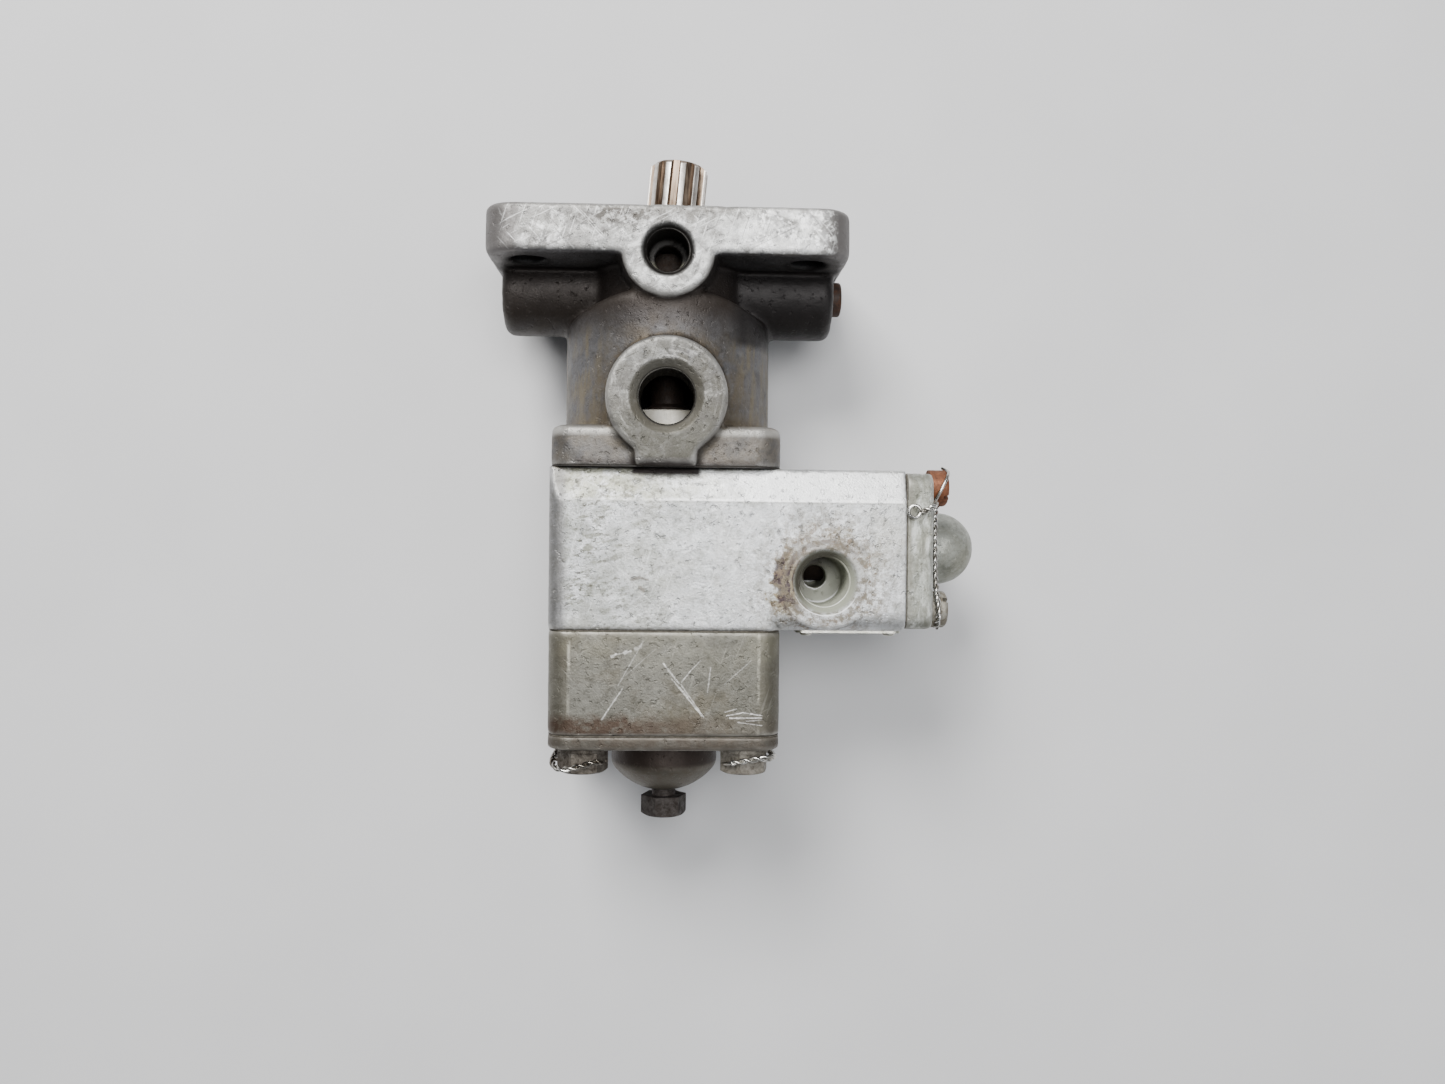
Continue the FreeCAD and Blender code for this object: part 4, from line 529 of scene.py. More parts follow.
def wire_piece(name, strands, replaced):
    """One piece from several strands, which stands for a CAD wire."""
    points = []
    faces = []
    for strand_points, strand_faces in strands:
        base = len(points)
        points += [tuple(point) for point in strand_points]
        faces += [tuple(base + corner for corner in face) for face in strand_faces]
    new_piece(name, mesh_of(name, points, faces), "lockwire_steel", MATERIALS["lockwire_steel"], replaced)


def make_bolt_wires():
    """Twisted safety wires over the drilled bolt heads, with the strands that enter the heads."""
    bolt_at = (BOLTS_HIGH.x + BOLTS_LOW.x) / 2 + BOLT_Z
    for node, route in BOLT_WIRES:
        side = 1 if route[0][0] > 0 else -1
        strands = twisted_pair(route, STRAND_R, LAY)
        for end, first in ((1, route[0]), (-1, route[-1])):
            entering = [(side * x, y, bolt_at * end + end * z) for x, y, z in IN_HEAD]
            leaving = [(side * x, y, bolt_at * end + end * z) for x, y, z in OUT_OF_HEAD]
            strands += single_strand([first, *entering], STRAND_R)
            strands += single_strand(leaving, STRAND_R)
        wire_piece(node + "_twisted", strands, node)


def side_route(places):
    """A route by the side cover's screws."""
    return [(SIDE_WIRE.x + x, screw_y + y, SIDE_WIRE.z + z) for screw_y, x, y, z in places]


def make_side_wire():
    """Twisted safety wire on the side cover screws, with a curled tail by the upper front one."""
    down = side_route(SIDE_DOWN)
    strands = twisted_pair(down, SIDE_STRAND_R, SIDE_LAY)
    strands += twisted_pair([(x, y, -z) for x, y, z in down], SIDE_STRAND_R, SIDE_LAY, 1.0)
    strands += single_strand(side_route(SIDE_OVER), STRAND_R)
    tail = side_route(SIDE_TAIL)
    tail.append((RING.x + RING_R + 0.3, RING.y - 0.2, RING.z))
    strands += twisted_pair(tail, SIDE_STRAND_R, SIDE_LAY)
    curl = [(RING.x + RING_R + 0.5, RING.y - 0.1, RING.z)]
    for step in range(RING_STEPS):
        angle = math.radians(RING_TURN[0] + RING_TURN[1] * step)
        curl.append((
            RING.x + RING_R * math.cos(angle), RING.y + RING_R * math.sin(angle), RING.z + RING_RISE * step
        ))
    strands += single_strand(curl, RING_STRAND_R)
    wire_piece("side_safety_wire", strands, "lockwire_side")


# ---- materials ----

class Shade(tuple):
    """A tone that multiplies what is under it instead of covering it."""


def cloud(size, detail, rough, low, high, out_low=0.0, out_high=1.0, **more):
    """Describes patches: noise as Paint.noise takes it, and the limits that Paint.between takes."""
    noise = dict(size=size, detail=detail, rough=rough, **more)
    return {"noise": noise, "limits": (low, high, out_low, out_high)}


def rest_of(share):
    """Describes what a share leaves of 1."""
    return {"rest": share}


def times(tone, factor):
    """A tone made lighter or darker."""
    return tuple(channel * factor for channel in tone)


class Paint:
    """A procedural surface, in millimetres of the object's own space.

    A share says where something applies, from 0 to 1. It is a number, a node's output, the name of a mask, a
    list of shares of which the largest counts, a cloud, a rest_of, or a fade: the name of a field and its
    values where the share is 0 and where it is 1, with two more numbers for other shares at those values.
    """

    def __init__(self, name, metallic):
        self.material = bpy.data.materials.new(name)
        self.material.use_nodes = True
        self.tree = self.material.node_tree
        self.shader = self.tree.nodes["Principled BSDF"]
        self.shader.inputs["Metallic"].default_value = metallic
        coordinate = self.add("TexCoord", {})
        scale = self.add("VectorMath", {0: coordinate.outputs["Object"], "Scale": 1 / MM}, operation="SCALE")
        self.place = scale.outputs[0]
        self.normal = coordinate.outputs["Normal"]
        self.named = {}
        for which, axis in enumerate("xyz"):
            self.named[axis] = self.add("SeparateXYZ", {0: self.place}).outputs[which]

    def add(self, kind, inputs, **settings):
        """A node of one kind, with values or links for its inputs."""
        node = self.tree.nodes.new("ShaderNode" + kind)
        for name, value in settings.items():
            setattr(node, name, value)
        for key, value in inputs.items():
            self.put(node.inputs[key], value)
        return node

    def put(self, socket, value):
        """Links an output to a socket, or sets a plain value on it."""
        if isinstance(value, bpy.types.NodeSocket):
            self.tree.links.new(value, socket)
        elif isinstance(value, tuple) and len(value) == 3 and len(socket.default_value) == 4:
            socket.default_value = (*value, 1.0)
        else:
            socket.default_value = value

    def sums(self, operation, first, second=0.0, clamp=False):
        """A math node."""
        return self.add("Math", {0: first, 1: second}, operation=operation, use_clamp=clamp).outputs[0]

    def vector(self, operation, first, second):
        """A vector math node."""
        return self.add("VectorMath", {0: first, 1: second}, operation=operation)

    def noise(self, size, detail, rough, distort=0.0, stretch=(1, 1, 1), shift=(0, 0, 0), turn=0):
        """Cloudy noise from 0 to 1 with features of about this size, its stretch turned about Z."""
        mapping = self.add("Mapping", {
            "Vector": self.place, "Rotation": (0, 0, math.radians(turn)),
            "Scale": [1 / value for value in stretch], "Location": shift,
        }, vector_type="TEXTURE")
        texture = self.add("TexNoise", {
            "Vector": mapping.outputs[0], "Scale": 1 / size, "Detail": detail, "Roughness": rough,
            "Distortion": distort,
        })
        return texture.outputs["Fac"]

    def between(self, value, low, high, out_low=0.0, out_high=1.0):
        """The value's place between two limits, clamped."""
        return self.add("MapRange", {
            "Value": value, "From Min": low, "From Max": high, "To Min": out_low, "To Max": out_high,
        }, clamp=True).outputs[0]

    def blend(self, share, first, second, mode="MIX"):
        """A colour between two."""
        node = self.add("Mix", {}, data_type="RGBA", blend_type=mode)
        for index, value in ((0, share), (6, first), (7, second)):
            self.put(node.inputs[index], value)
        return node.outputs[2]

    def attribute(self, name):
        """A number kept on the mesh."""
        return self.add("Attribute", {}, attribute_name=name).outputs["Fac"]

    def facing(self, which):
        """How far the surface faces along one of the object's axes, from -1 to 1."""
        return self.add("SeparateXYZ", {0: self.normal}).outputs[which]

    def most(self, *values):
        """The largest of several shares."""
        top = values[0]
        for value in values[1:]:
            top = self.sums("MAXIMUM", top, value)
        return top

    def product(self, *values):
        """Several shares multiplied."""
        total = values[0]
        for value in values[1:]:
            total = self.sums("MULTIPLY", total, value)
        return total

    def share(self, what):
        """The node's output or number that a share's description stands for."""
        if isinstance(what, str):
            return self.named[what]
        if isinstance(what, list):
            return self.most(*[self.share(item) for item in what])
        if isinstance(what, tuple):
            return self.between(self.named[what[0]], *what[1:])
        if isinstance(what, dict) and "rest" in what:
            return self.sums("SUBTRACT", 1.0, self.share(what["rest"]))
        if isinstance(what, dict):
            return self.between(self.noise(**what["noise"]), *what["limits"])
        return what

    def shares(self, *items):
        """Several described shares multiplied."""
        return self.product(*[self.share(item) for item in items])

    def name(self, masks):
        """Keeps the product of each mask's shares under the mask's name."""
        for name, items in masks.items():
            self.named[name] = self.shares(*items)

    def lay(self, colour, rows):
        """Lays each row's tone over the colour, as far as the product of the row's shares says."""
        for _, tone, *items in rows:
            mode = "MULTIPLY" if isinstance(tone, Shade) else "MIX"
            tone = self.named[tone] if isinstance(tone, str) else tone
            colour = self.blend(self.shares(*items), colour, tone, mode)
        return colour

    def from_line(self, point, direction):
        """Distance from a line."""
        offset = self.vector("SUBTRACT", self.place, point)
        across = self.vector("CROSS_PRODUCT", offset.outputs[0], direction)
        return self.add("VectorMath", {0: across.outputs[0]}, operation="LENGTH").outputs["Value"]

    def near(self, centre, full, gone):
        """1 close to a point and 0 beyond a distance."""
        return self.between(self.vector("DISTANCE", self.place, centre).outputs["Value"], gone, full)

    def stroke(self, start, end, width, wobble):
        """1 along a thin line between two points on the front, for a scratch."""
        start = Vector((*start, FRONT_Z))
        run = Vector((*end, FRONT_Z)) - start
        offset = self.vector("SUBTRACT", self.place, start).outputs[0]
        along = self.vector("DOT_PRODUCT", offset, run / run.length_squared).outputs["Value"]
        share = self.between(along, 0.0, 1.0)
        back = self.add("VectorMath", {0: run, "Scale": share}, operation="SCALE").outputs[0]
        gap = self.vector("DISTANCE", offset, back).outputs["Value"]
        rough_gap = self.sums("ADD", gap, self.sums("MULTIPLY", wobble, width))
        return self.between(rough_gap, width * 1.5, width * 0.7)

    def finish(self, colour, roughness, height, relief):
        """Joins colour, roughness and a bump height in millimetres to the shader."""
        bump = self.add("Bump", {"Strength": 1.0, "Distance": relief * MM, "Height": height})
        self.put(self.shader.inputs["Base Color"], colour)
        self.put(self.shader.inputs["Roughness"], roughness)
        self.put(self.shader.inputs["Normal"], bump.outputs[0])
        return self.material


def mottled(name, size, dark, light, shift, *items):
    """Rows for darker and lighter patches of about one size."""
    look = {"distort": 0.4, "shift": shift}
    return (
        (name + ", dark patches", dark, cloud(size, 6, 0.72, 0.5, 0.38, **look), *items),
        (name + ", light patches", light, cloud(size, 6, 0.72, 0.52, 0.64, **look), *items),
    )


def scratched(name, tone, size, shift, *items):
    """A row for a few fine scratches in three directions."""
    runs = []
    for index, turn in enumerate((28, -47, 71)):
        moved = (shift[0] + 9 * index, shift[1], shift[2] + 5 * index)
        runs.append(cloud(size, 2, 0.4, 0.66, 0.71, stretch=(0.12, 2.4, 1), shift=moved, turn=turn))
    return name, tone, runs, *items, 0.5


# ---- marks of each casting: masks, and rows of what it is, its tone and its shares ----

HOUSING_MASKS = {
    "open face": (("facing z", 0.55, 0.93), ("z", 27.6, 28.6)),
    "bare": ("open face", ("y", -27.0, -25.0)),
    "boss": ("open face", ("y", -30.0, -32.0), ("z", 29.4, 30.4)),
    "collar": (("y", -55.5, -56.5), ("z", 24.0, 28.0)),
    "patchy": (cloud(3.4, 6, 0.7, 0.38, 0.56, 0.42, 1.0, shift=(12, 2, 5)),),
    "bronzed": (cloud(3.5, 6, 0.68, 0.38, 0.6, 0.1, 0.85, shift=(40, 2, 5)),),
    "drain boss": (("z", 26.5, 28.0), ("off drain", 13.4, 12.4)),
    # the shaded neck under the flange keeps no rubbed edges, so its painted shade stays dark
    "oily neck": (("y", -9.0, -11.5), ("y", -36.0, -30.0), rest_of("drain boss"), 0.93),
    "boss ends": (("y", -14.0, -13.0), ("spread", 35.0, 37.0), 0.7),
    "unworn": (["oily neck", "boss ends"],),
}
HOUSING_MARKS = (
    ("tan stains low on the body", (0.15, 0.12, 0.08),
     ("y", -40.0, -56.0), cloud(5.5, 4, 0.6, 0.34, 0.56, shift=(0, 9, 0)), 0.6),
    ("brown streaks down the sides of the body", (0.17, 0.14, 0.088),
     cloud(3.4, 5, 0.66, 0.44, 0.6, stretch=(1.2, 0.3, 1.2), shift=(33, 9, 0)),
     ("spread", 13.0, 20.0), ("y", -27.0, -31.0), ("y", -56.0, -54.0), 0.7),
    ("worn collar", (0.21, 0.195, 0.175),
     "collar", cloud(6.0, 5, 0.65, 0.36, 0.6, 0.1, 0.5, shift=(4, 44, 4))),
    *mottled("collar", 4.0, (0.10, 0.095, 0.09), (0.20, 0.19, 0.175), (5, 14, 3), "collar", 0.7),
    ("darker collar", Shade((0.80, 0.80, 0.805)), "collar"),
    # painted highlight along the collar's upper lip
    ("light lip of the collar", (0.50, 0.49, 0.46),
     ("y", -57.6, -56.6), ("y", -55.0, -55.8), ("z", 22.0, 26.0), 0.5),
    ("oil soaked in round the inlet", (0.10, 0.078, 0.05),
     ("off inlet", 22.0, 16.0), ("z", 30.0, 27.0), cloud(4.0, 5, 0.65, 0.36, 0.58, shift=(9, 4, 4)), 0.75),
    # painted shade: the neck under the flange is painted near black
    ("black oily neck", (0.022, 0.017, 0.015), ("y", -11.6, -12.8), ("y", -34.0, -24.0),
     rest_of("open face"), cloud(3.0, 5, 0.6, 0.25, 0.5, 0.86, 1.0)),
    ("crown of the body", (0.055, 0.043, 0.034), ("y", -36.0, -23.0), ("y", -14.0, -22.0), 0.3),
    ("bare flange face", "lit face", "bare", "patchy"),
    *mottled("bare face", 5.0, (0.24, 0.235, 0.225), (0.72, 0.72, 0.71), (8, 8, 31), "bare"),
    ("dull ends of the side bosses", (0.15, 0.14, 0.135),
     ("off middle", 36.6, 39.4), ("y", -14.0, -13.0), ("z", 12.0, 16.0), 0.85),
    # painted shade: the walls of the mounting holes are painted near black
    ("mounting hole walls", (0.008, 0.007, 0.007), ("off hole", 6.4, 5.0), ("y", -1.0, -2.5)),
    ("hammered right end", (0.90, 0.90, 0.89),
     "bare", ("x", 14.0, 22.0), cloud(1.6, 5, 0.7, 0.5, 0.6, shift=(7, 1, 6))),
    ("peppered area left of the drain", (0.075, 0.068, 0.06), "bare", ("x", 3.0, -8.0),
     ("x", -30.0, -16.0), ("y", -7.5, -4.0), cloud(1.5, 5, 0.7, 0.46, 0.56, shift=(2, 17, 6))),
    ("smears above the drain", (0.14, 0.13, 0.115), "bare", ("x", -14.0, -6.0), ("x", 26.0, 14.0),
     ("y", -6.5, -2.5), cloud(3.6, 6, 0.7, 0.4, 0.54, shift=(32, 7, 6)), 0.75),
    # painted shade on the right boss and body under the flange
    ("oily right boss", (0.012, 0.010, 0.010),
     ("x", 15.0, 19.0), ("y", -12.0, -13.5), ("y", -34.0, -32.0), 0.9),
    scratched("dark scratches on the face", (0.09, 0.085, 0.08), 1.7, (4, 4, 9), "bare"),
    scratched("light scratches on the face", (0.80, 0.80, 0.79), 1.2, (14, 9, 2), "bare"),
    ("bronzed inlet boss", "boss tone", "boss", "bronzed"),
    *mottled("inlet boss", 3.4, (0.10, 0.094, 0.078), (0.50, 0.49, 0.47), (18, 3, 30), "boss"),
    ("dull lower part of the inlet boss", (0.10, 0.096, 0.078), "boss", ("y", -47.0, -54.0), 0.8),
    ("darker inlet boss", Shade((0.72, 0.72, 0.71)), "boss", 0.85),
    ("turning marks of the inlet boss", (0.62, 0.61, 0.58), "boss", ("arcs", 0.3, 0.8),
     cloud(4.5, 5, 0.7, 0.5, 0.6, shift=(2, 60, 4)), ("up left", INLET.y - 6.0, INLET.y + 8.0, 0.1, 0.35)),
    # painted highlight on the inlet boss's upper left
    ("glow at its upper left", (0.46, 0.455, 0.44),
     "boss", ("up left", INLET.y + 2.0, INLET.y + 16.0), "patchy", 0.2),
    ("smudges on the inlet boss", (0.10, 0.095, 0.085),
     "boss", ("off inlet", 15.0, 13.5), cloud(3.6, 6, 0.7, 0.48, 0.6, shift=(52, 7, 3)), 0.7),
    scratched("scratches on the inlet boss", (0.06, 0.055, 0.045), 1.4, (24, 4, 2), "boss"),
    ("dark pump chamber", (0.006, 0.005, 0.004), ("off shaft", 18.8, 18.2), ("y", -30.0, -32.0)),
    ("oily inlet bore", (0.018, 0.016, 0.012), ("off inlet", 7.4, 7.2), 0.92),
    ("inlet mouth", (0.155, 0.145, 0.115),
     ("off inlet", 9.4, 8.9), ("off inlet", 7.2, 7.4), ("z", 10.0, 12.0), 0.65),
    # painted shadow on the underside of the inlet boss's toe
    ("dark toe of the inlet boss", (0.02, 0.011, 0.010), ("y", -62.6, -64.0), ("z", 28.0, 30.0)),
    # painted shade over the drain port, on top of oil, with painted light on its lower floor
    ("oily drain bore", (0.012, 0.010, 0.008), ("off drain", 7.0, 6.0), 0.95),
    ("light on the drain's floor", (0.20, 0.19, 0.145),
     ("off drain", 5.5, 5.2), ("z", 19.6, 18.8), ("y", -11.5, -14.0)),
)

BEVEL_FOOT_Y = BLOCK_HIGH.y - 8.3
SLANT = OUTLET.x - OUTLET.y
BLOCK_MASKS = {
    "front": (("z", FRONT_Z - 1.5, FRONT_Z - 0.5),),
    "left": (("x", 22.0, -20.0),),
    "pitted area": (cloud(8.0, 4, 0.6, 0.34, 0.5, shift=(1, 20, 4)),),
    "ring": (("off outlet", 7.9, 8.3), ("reach", 14.6, 13.2),
             [("leftward", -0.5, -0.95), ("upward", 0.35, 0.9, 0.0, 0.45)]),
    "bevel": (("facing y", 0.12, 0.24), ("facing z", 0.85, 0.93)),
    "shine": (("x", -8.0, 24.0, 0.12, 1.0),),
    "unworn": (("off outlet", 10.0, 8.8), 0.85),
    "corroded": (("off outlet", 12.5, 8.5), 0.9),
}
BLOCK_MARKS = (
    ("green-grey pits", (0.15, 0.15, 0.105), "pitted area", "left",
     cloud(1.8, 6, 0.75, 0.5, 0.58, stretch=(0.6, 1.2, 1), shift=(6, 6, 6), turn=12), 0.8),
    ("deep pits", (0.075, 0.07, 0.05), "pitted area", "left",
     cloud(1.1, 5, 0.7, 0.56, 0.62, stretch=(0.7, 1.1, 1), shift=(26, 6, 16))),
    ("soft stains", (0.25, 0.255, 0.225), cloud(7.0, 6, 0.68, 0.42, 0.58, shift=(60, 2, 4)), "left", 0.55),
    scratched("light scratches", (0.82, 0.83, 0.83), 2.6, (2, 30, 9), "front", 0.5),
    ("brown ring beside the outlet", (0.24, 0.195, 0.12), "ring", ("stray", 0.32, 0.44)),
    ("dark bands in the ring", (0.045, 0.028, 0.03), "ring", ("wave", -0.6, -0.1), ("reach", 13.4, 12.4)),
    ("darkest part of the ring", (0.04, 0.026, 0.03), "core", 0.9),
    ("freckles round the outlet", (0.20, 0.15, 0.10), ("off outlet", 17.0, 12.0), ("off outlet", 8.2, 9.4),
     cloud(1.7, 5, 0.7, 0.54, 0.6, shift=(11, 12, 3)), 0.8),
    ("thin circle round the outlet", (0.16, 0.13, 0.10), ("off outlet", 9.6, 9.9), ("off outlet", 10.7, 10.3),
     "front", cloud(2.5, 4, 0.6, 0.42, 0.56, shift=(9, 30, 2)), 0.6),
    ("brown scale round the outlet", (0.15, 0.125, 0.085),
     cloud(1.6, 6, 0.75, 0.47, 0.56, shift=(50, 6, 3)), ("off outlet", 24.0, 10.5), "front", 0.8),
    # the inside of the port is pale olive-grey, partly its own tone and partly painted light
    ("outlet port", (0.36, 0.37, 0.30), ("off outlet", 8.3, 7.3)),
    # painted shadow on the upper left wall of the port
    ("oily upper left of the port", (0.035, 0.026, 0.018),
     ("off outlet", 8.3, 7.3), ("slant", SLANT + 4.0, SLANT - 5.0), 0.85),
    # painted highlight: the bevel, which faces up towards the light, is painted near white, more so to the
    # right
    ("bright bevel", (0.93, 0.94, 0.94), "bevel", "shine", 0.9),
    ("aged left part of the bevel", (0.33, 0.33, 0.25),
     "bevel", cloud(4.0, 6, 0.7, 0.4, 0.56, shift=(3, 33, 8)), rest_of("shine"), 0.85),
    ("flecks on the bevel", (0.13, 0.125, 0.10), "bevel",
     cloud(1.6, 6, 0.72, 0.5, 0.58, stretch=(0.7, 1.1, 1), shift=(3, 63, 8)), rest_of("shine"), 0.85),
    # painted highlight: a bright line along the foot of the bevel
    ("bright foot of the bevel", (0.95, 0.95, 0.95), ("y", BEVEL_FOOT_Y - 0.1, BEVEL_FOOT_Y + 0.1),
     ("y", BEVEL_FOOT_Y + 0.7, BEVEL_FOOT_Y + 0.4), "front", "shine"),
    ("shade under it", (0.22, 0.22, 0.20), ("y", BEVEL_FOOT_Y + 0.1, BEVEL_FOOT_Y - 0.1),
     ("y", BEVEL_FOOT_Y - 0.7, BEVEL_FOOT_Y - 0.4), "front", 0.35),
    # painted shade: the rounded left corner is darkened
    ("dark left corner", (0.17, 0.165, 0.165), ("x", BLOCK_LOW.x + 5.2, BLOCK_LOW.x + 3.4), 0.75),
    ("grime along the joints", (0.12, 0.105, 0.075),
     [("y", BLOCK_HIGH.y - 1.1, BLOCK_HIGH.y - 0.2), ("y", BLOCK_LOW.y + 1.1, BLOCK_LOW.y + 0.2)],
     cloud(2.4, 5, 0.7, 0.36, 0.52, shift=(30, 3, 3)), ("x", BLOCK_HIGH.x - 31.0, BLOCK_HIGH.x - 32.0), 0.8),
    # painted shadow: the block beneath the inlet boss's toe is painted near black
    ("oil beneath the inlet boss's toe", (0.015, 0.009, 0.009),
     ("y", BLOCK_HIGH.y - 2.6, BLOCK_HIGH.y - 1.4), ("x", -9.0, -8.0), ("x", 9.0, 8.0), 0.96),
    ("nick in the middle", (0.14, 0.12, 0.10), "nick", 0.7),
)
CORE_STROKES = (             # start and end beside the outlet, half width
    ((-11.4, 4.6), (-12.2, -0.4), 1.1), ((-12.0, 0.6), (-10.2, -5.4), 0.9),
)
NICK_STROKES = (             # start, end, half width
    ((-8.2, -92.9), (-6.2, -92.3), 0.35), ((-6.2, -92.3), (-4.2, -92.9), 0.25),
    ((-6.2, -94.8), (-5.2, -95.6), 0.4),
)

RELIEF_EDGE_X = RELIEF_HIGH.x - 5.6
RELIEF_MARKS = (
    ("darker right half", (0.085, 0.08, 0.06), ("x", 0.0, 26.0), 0.35),
    # painted shade: both rounded side edges are darkened
    ("dull bands at both edges", (0.10, 0.09, 0.065),
     [("x", RELIEF_LOW.x + 6.0, RELIEF_LOW.x + 5.0), ("x", RELIEF_HIGH.x - 6.0, RELIEF_HIGH.x - 5.0)], 0.45),
    # painted highlight: thin bright lines beside them, stronger towards the top
    ("rubbed lines beside them", (0.50, 0.48, 0.40), ("spread", RELIEF_EDGE_X - 0.5, RELIEF_EDGE_X - 0.1),
     ("spread", RELIEF_EDGE_X + 0.6, RELIEF_EDGE_X + 0.2), cloud(3.0, 5, 0.7, 0.4, 0.58, shift=(3, 50, 1)),
     ("y", -124.0, -108.0, 0.35, 1.0), 0.8),
    ("yellowed upper part", (0.23, 0.22, 0.165), ("y", -118.0, -107.0), cloud(7.0, 5, 0.6, 0.36, 0.6), 0.5),
    scratched("fine scratches", (0.30, 0.29, 0.25), 1.8, (2, 11, 4), 0.5),
)
RELIEF_RUST = (
    ("rusty band at the lower edge", (0.055, 0.034, 0.022), ("sagging", -123.2, -125.6),
     ("x", 18.0, -10.0, 0.3, 1.0), cloud(2.0, 5, 0.68, 0.28, 0.5, 0.3, 0.95)),
)
RELIEF_SCRATCH_TONE = (0.80, 0.79, 0.76)
RELIEF_SCRATCHES = (         # start (x, y), end (x, y), half width and strength
    ((-5.2, -108.1), (-11.2, -118.8), 0.13, 0.3), ((-10.2, -119.8), (-15.2, -127.3), 0.15, 0.65),
    ((-0.2, -113.4), (3.7, -118.4), 0.17, 0.7), ((2.6, -118.0), (9.4, -126.2), 0.17, 0.75),
    ((4.2, -118.6), (9.9, -126.6), 0.12, 0.6), ((1.8, -117.2), (6.0, -121.6), 0.12, 0.5),
    ((4.4, -118.0), (6.6, -115.2), 0.13, 0.6), ((6.6, -115.2), (9.0, -112.7), 0.11, 0.35),
    ((11.5, -114.5), (10.8, -120.5), 0.13, 0.45), ((-13.0, -111.8), (-12.0, -111.4), 0.30, 0.75),
    ((-9.8, -110.8), (-8.4, -110.5), 0.30, 0.7), ((-12.0, -111.4), (-9.8, -110.8), 0.12, 0.4),
    ((-6.8, -109.9), (-5.8, -109.3), 0.42, 0.35),
    ((15.1, -118.4), (21.5, -112.7), 0.12, 0.25), ((-2.2, -110.0), (-9.5, -116.5), 0.11, 0.2),
    ((15.6, -126.3), (19.6, -125.5), 0.12, 0.9), ((19.6, -125.5), (24.8, -126.3), 0.12, 0.8),
    ((16.4, -126.9), (24.2, -126.8), 0.14, 1.0), ((18.4, -127.9), (24.4, -128.7), 0.12, 0.8),
    ((15.2, -125.4), (18.0, -124.6), 0.10, 0.6), ((20.4, -127.6), (24.9, -127.3), 0.10, 0.6),
)

COVER_MARKS = (
    ("rust", (0.075, 0.052, 0.034), cloud(3.2, 5, 0.66, 0.4, 0.6, shift=(3, 3, 3)), 0.6),
    ("rusty strip at the joint", (0.05, 0.034, 0.022),
     ("y", -132.2, -131.6), cloud(3.4, 5, 0.7, 0.36, 0.5, shift=(3, 3, 40)), 0.8),
    ("cleaner strip under it", (0.13, 0.122, 0.105), ("y", -132.2, -132.8), ("y", -134.8, -134.2),
     cloud(4.2, 5, 0.7, 0.42, 0.6, 0.1, 0.5, shift=(23, 3, 4))),
    ("darker plate", Shade((0.76, 0.75, 0.74)), ("y", -135.2, -134.8)),
    ("oily dome", (0.10, 0.088, 0.066), ("y", -134.9, -135.6), 0.6),
    # painted shadow: the plate's shadow on the upper dome, painted dark brown
    ("brown shoulder of the dome", (0.03, 0.019, 0.015), ("y", -134.9, -135.6), ("y", -143.5, -141.5), 0.9),
)

SIDE_RUN = {"distort": 0.3, "stretch": (1.3, 0.4, 1), "shift": (6, 8, 3)}
SIDE_PLATE = ("x", COVER_LOW.x + 8.6, COVER_LOW.x + 8.2)
SIDE_MARKS = (
    ("green-grey corners", (0.17, 0.165, 0.13), [("y", -74.0, -68.0), ("y", -95.0, -101.0)], 0.35),
    ("dark runs on the plate", (0.20, 0.20, 0.165), SIDE_PLATE, cloud(3.0, 6, 0.7, 0.5, 0.4, **SIDE_RUN)),
    ("light runs on the plate", (0.56, 0.57, 0.54), SIDE_PLATE, cloud(3.0, 6, 0.7, 0.52, 0.62, **SIDE_RUN)),
    ("dull strip at the seam", (0.19, 0.18, 0.15), ("x", COVER_LOW.x + 1.8, COVER_LOW.x + 0.4), 0.6),
)


def along_z(centre):
    """A point and a direction for the line along Z through a port's centre."""
    return (centre.x, centre.y, 0), (0, 0, 1)


def housing_marks(paint, colour):
    """Bright worn front faces, brown stains on the round body, black oily bores, painted shade under the
    flange, in the holes and under the inlet boss's toe, and painted highlights on the collar's lip and the
    inlet boss.
    """
    named = paint.named
    rightward = paint.share(("x", -30.0, 20.0))
    downward = paint.share(("y", -52.0, -60.0))
    named["lit face"] = paint.blend(rightward, (0.31, 0.305, 0.29), (0.64, 0.64, 0.63))
    named["boss tone"] = paint.blend(downward, (0.24, 0.235, 0.215), (0.15, 0.14, 0.115))
    return paint.lay(colour, HOUSING_MARKS)


def housing_fields(paint):
    """Distances and directions that the upper casting's marks use."""
    named = paint.named
    named["facing y"] = paint.facing(1)
    named["facing z"] = paint.facing(2)
    named["off inlet"] = paint.from_line(*along_z(INLET))
    named["off drain"] = paint.from_line(*along_z(DRAIN))
    named["off shaft"] = paint.from_line((0, 0, 0), (0, 1, 0))
    named["off middle"] = paint.sums("ABSOLUTE", paint.sums("ADD", named["x"], -1.2))
    hole_x = paint.sums("SUBTRACT", named["spread"], HOLES[0] / 2)
    hole_z = paint.sums("SUBTRACT", paint.sums("ABSOLUTE", named["z"]), HOLES[1] / 2)
    squares = paint.sums("ADD", paint.product(hole_x, hole_x), paint.product(hole_z, hole_z))
    named["off hole"] = paint.sums("SQRT", squares)
    named["up left"] = paint.sums("SUBTRACT", named["y"], named["x"])
    paint.name(HOUSING_MASKS)
    ripples = paint.sums("ADD", paint.product(named["off inlet"], 4.6), paint.product(named["bronzed"], 2.0))
    named["arcs"] = paint.sums("SINE", ripples)


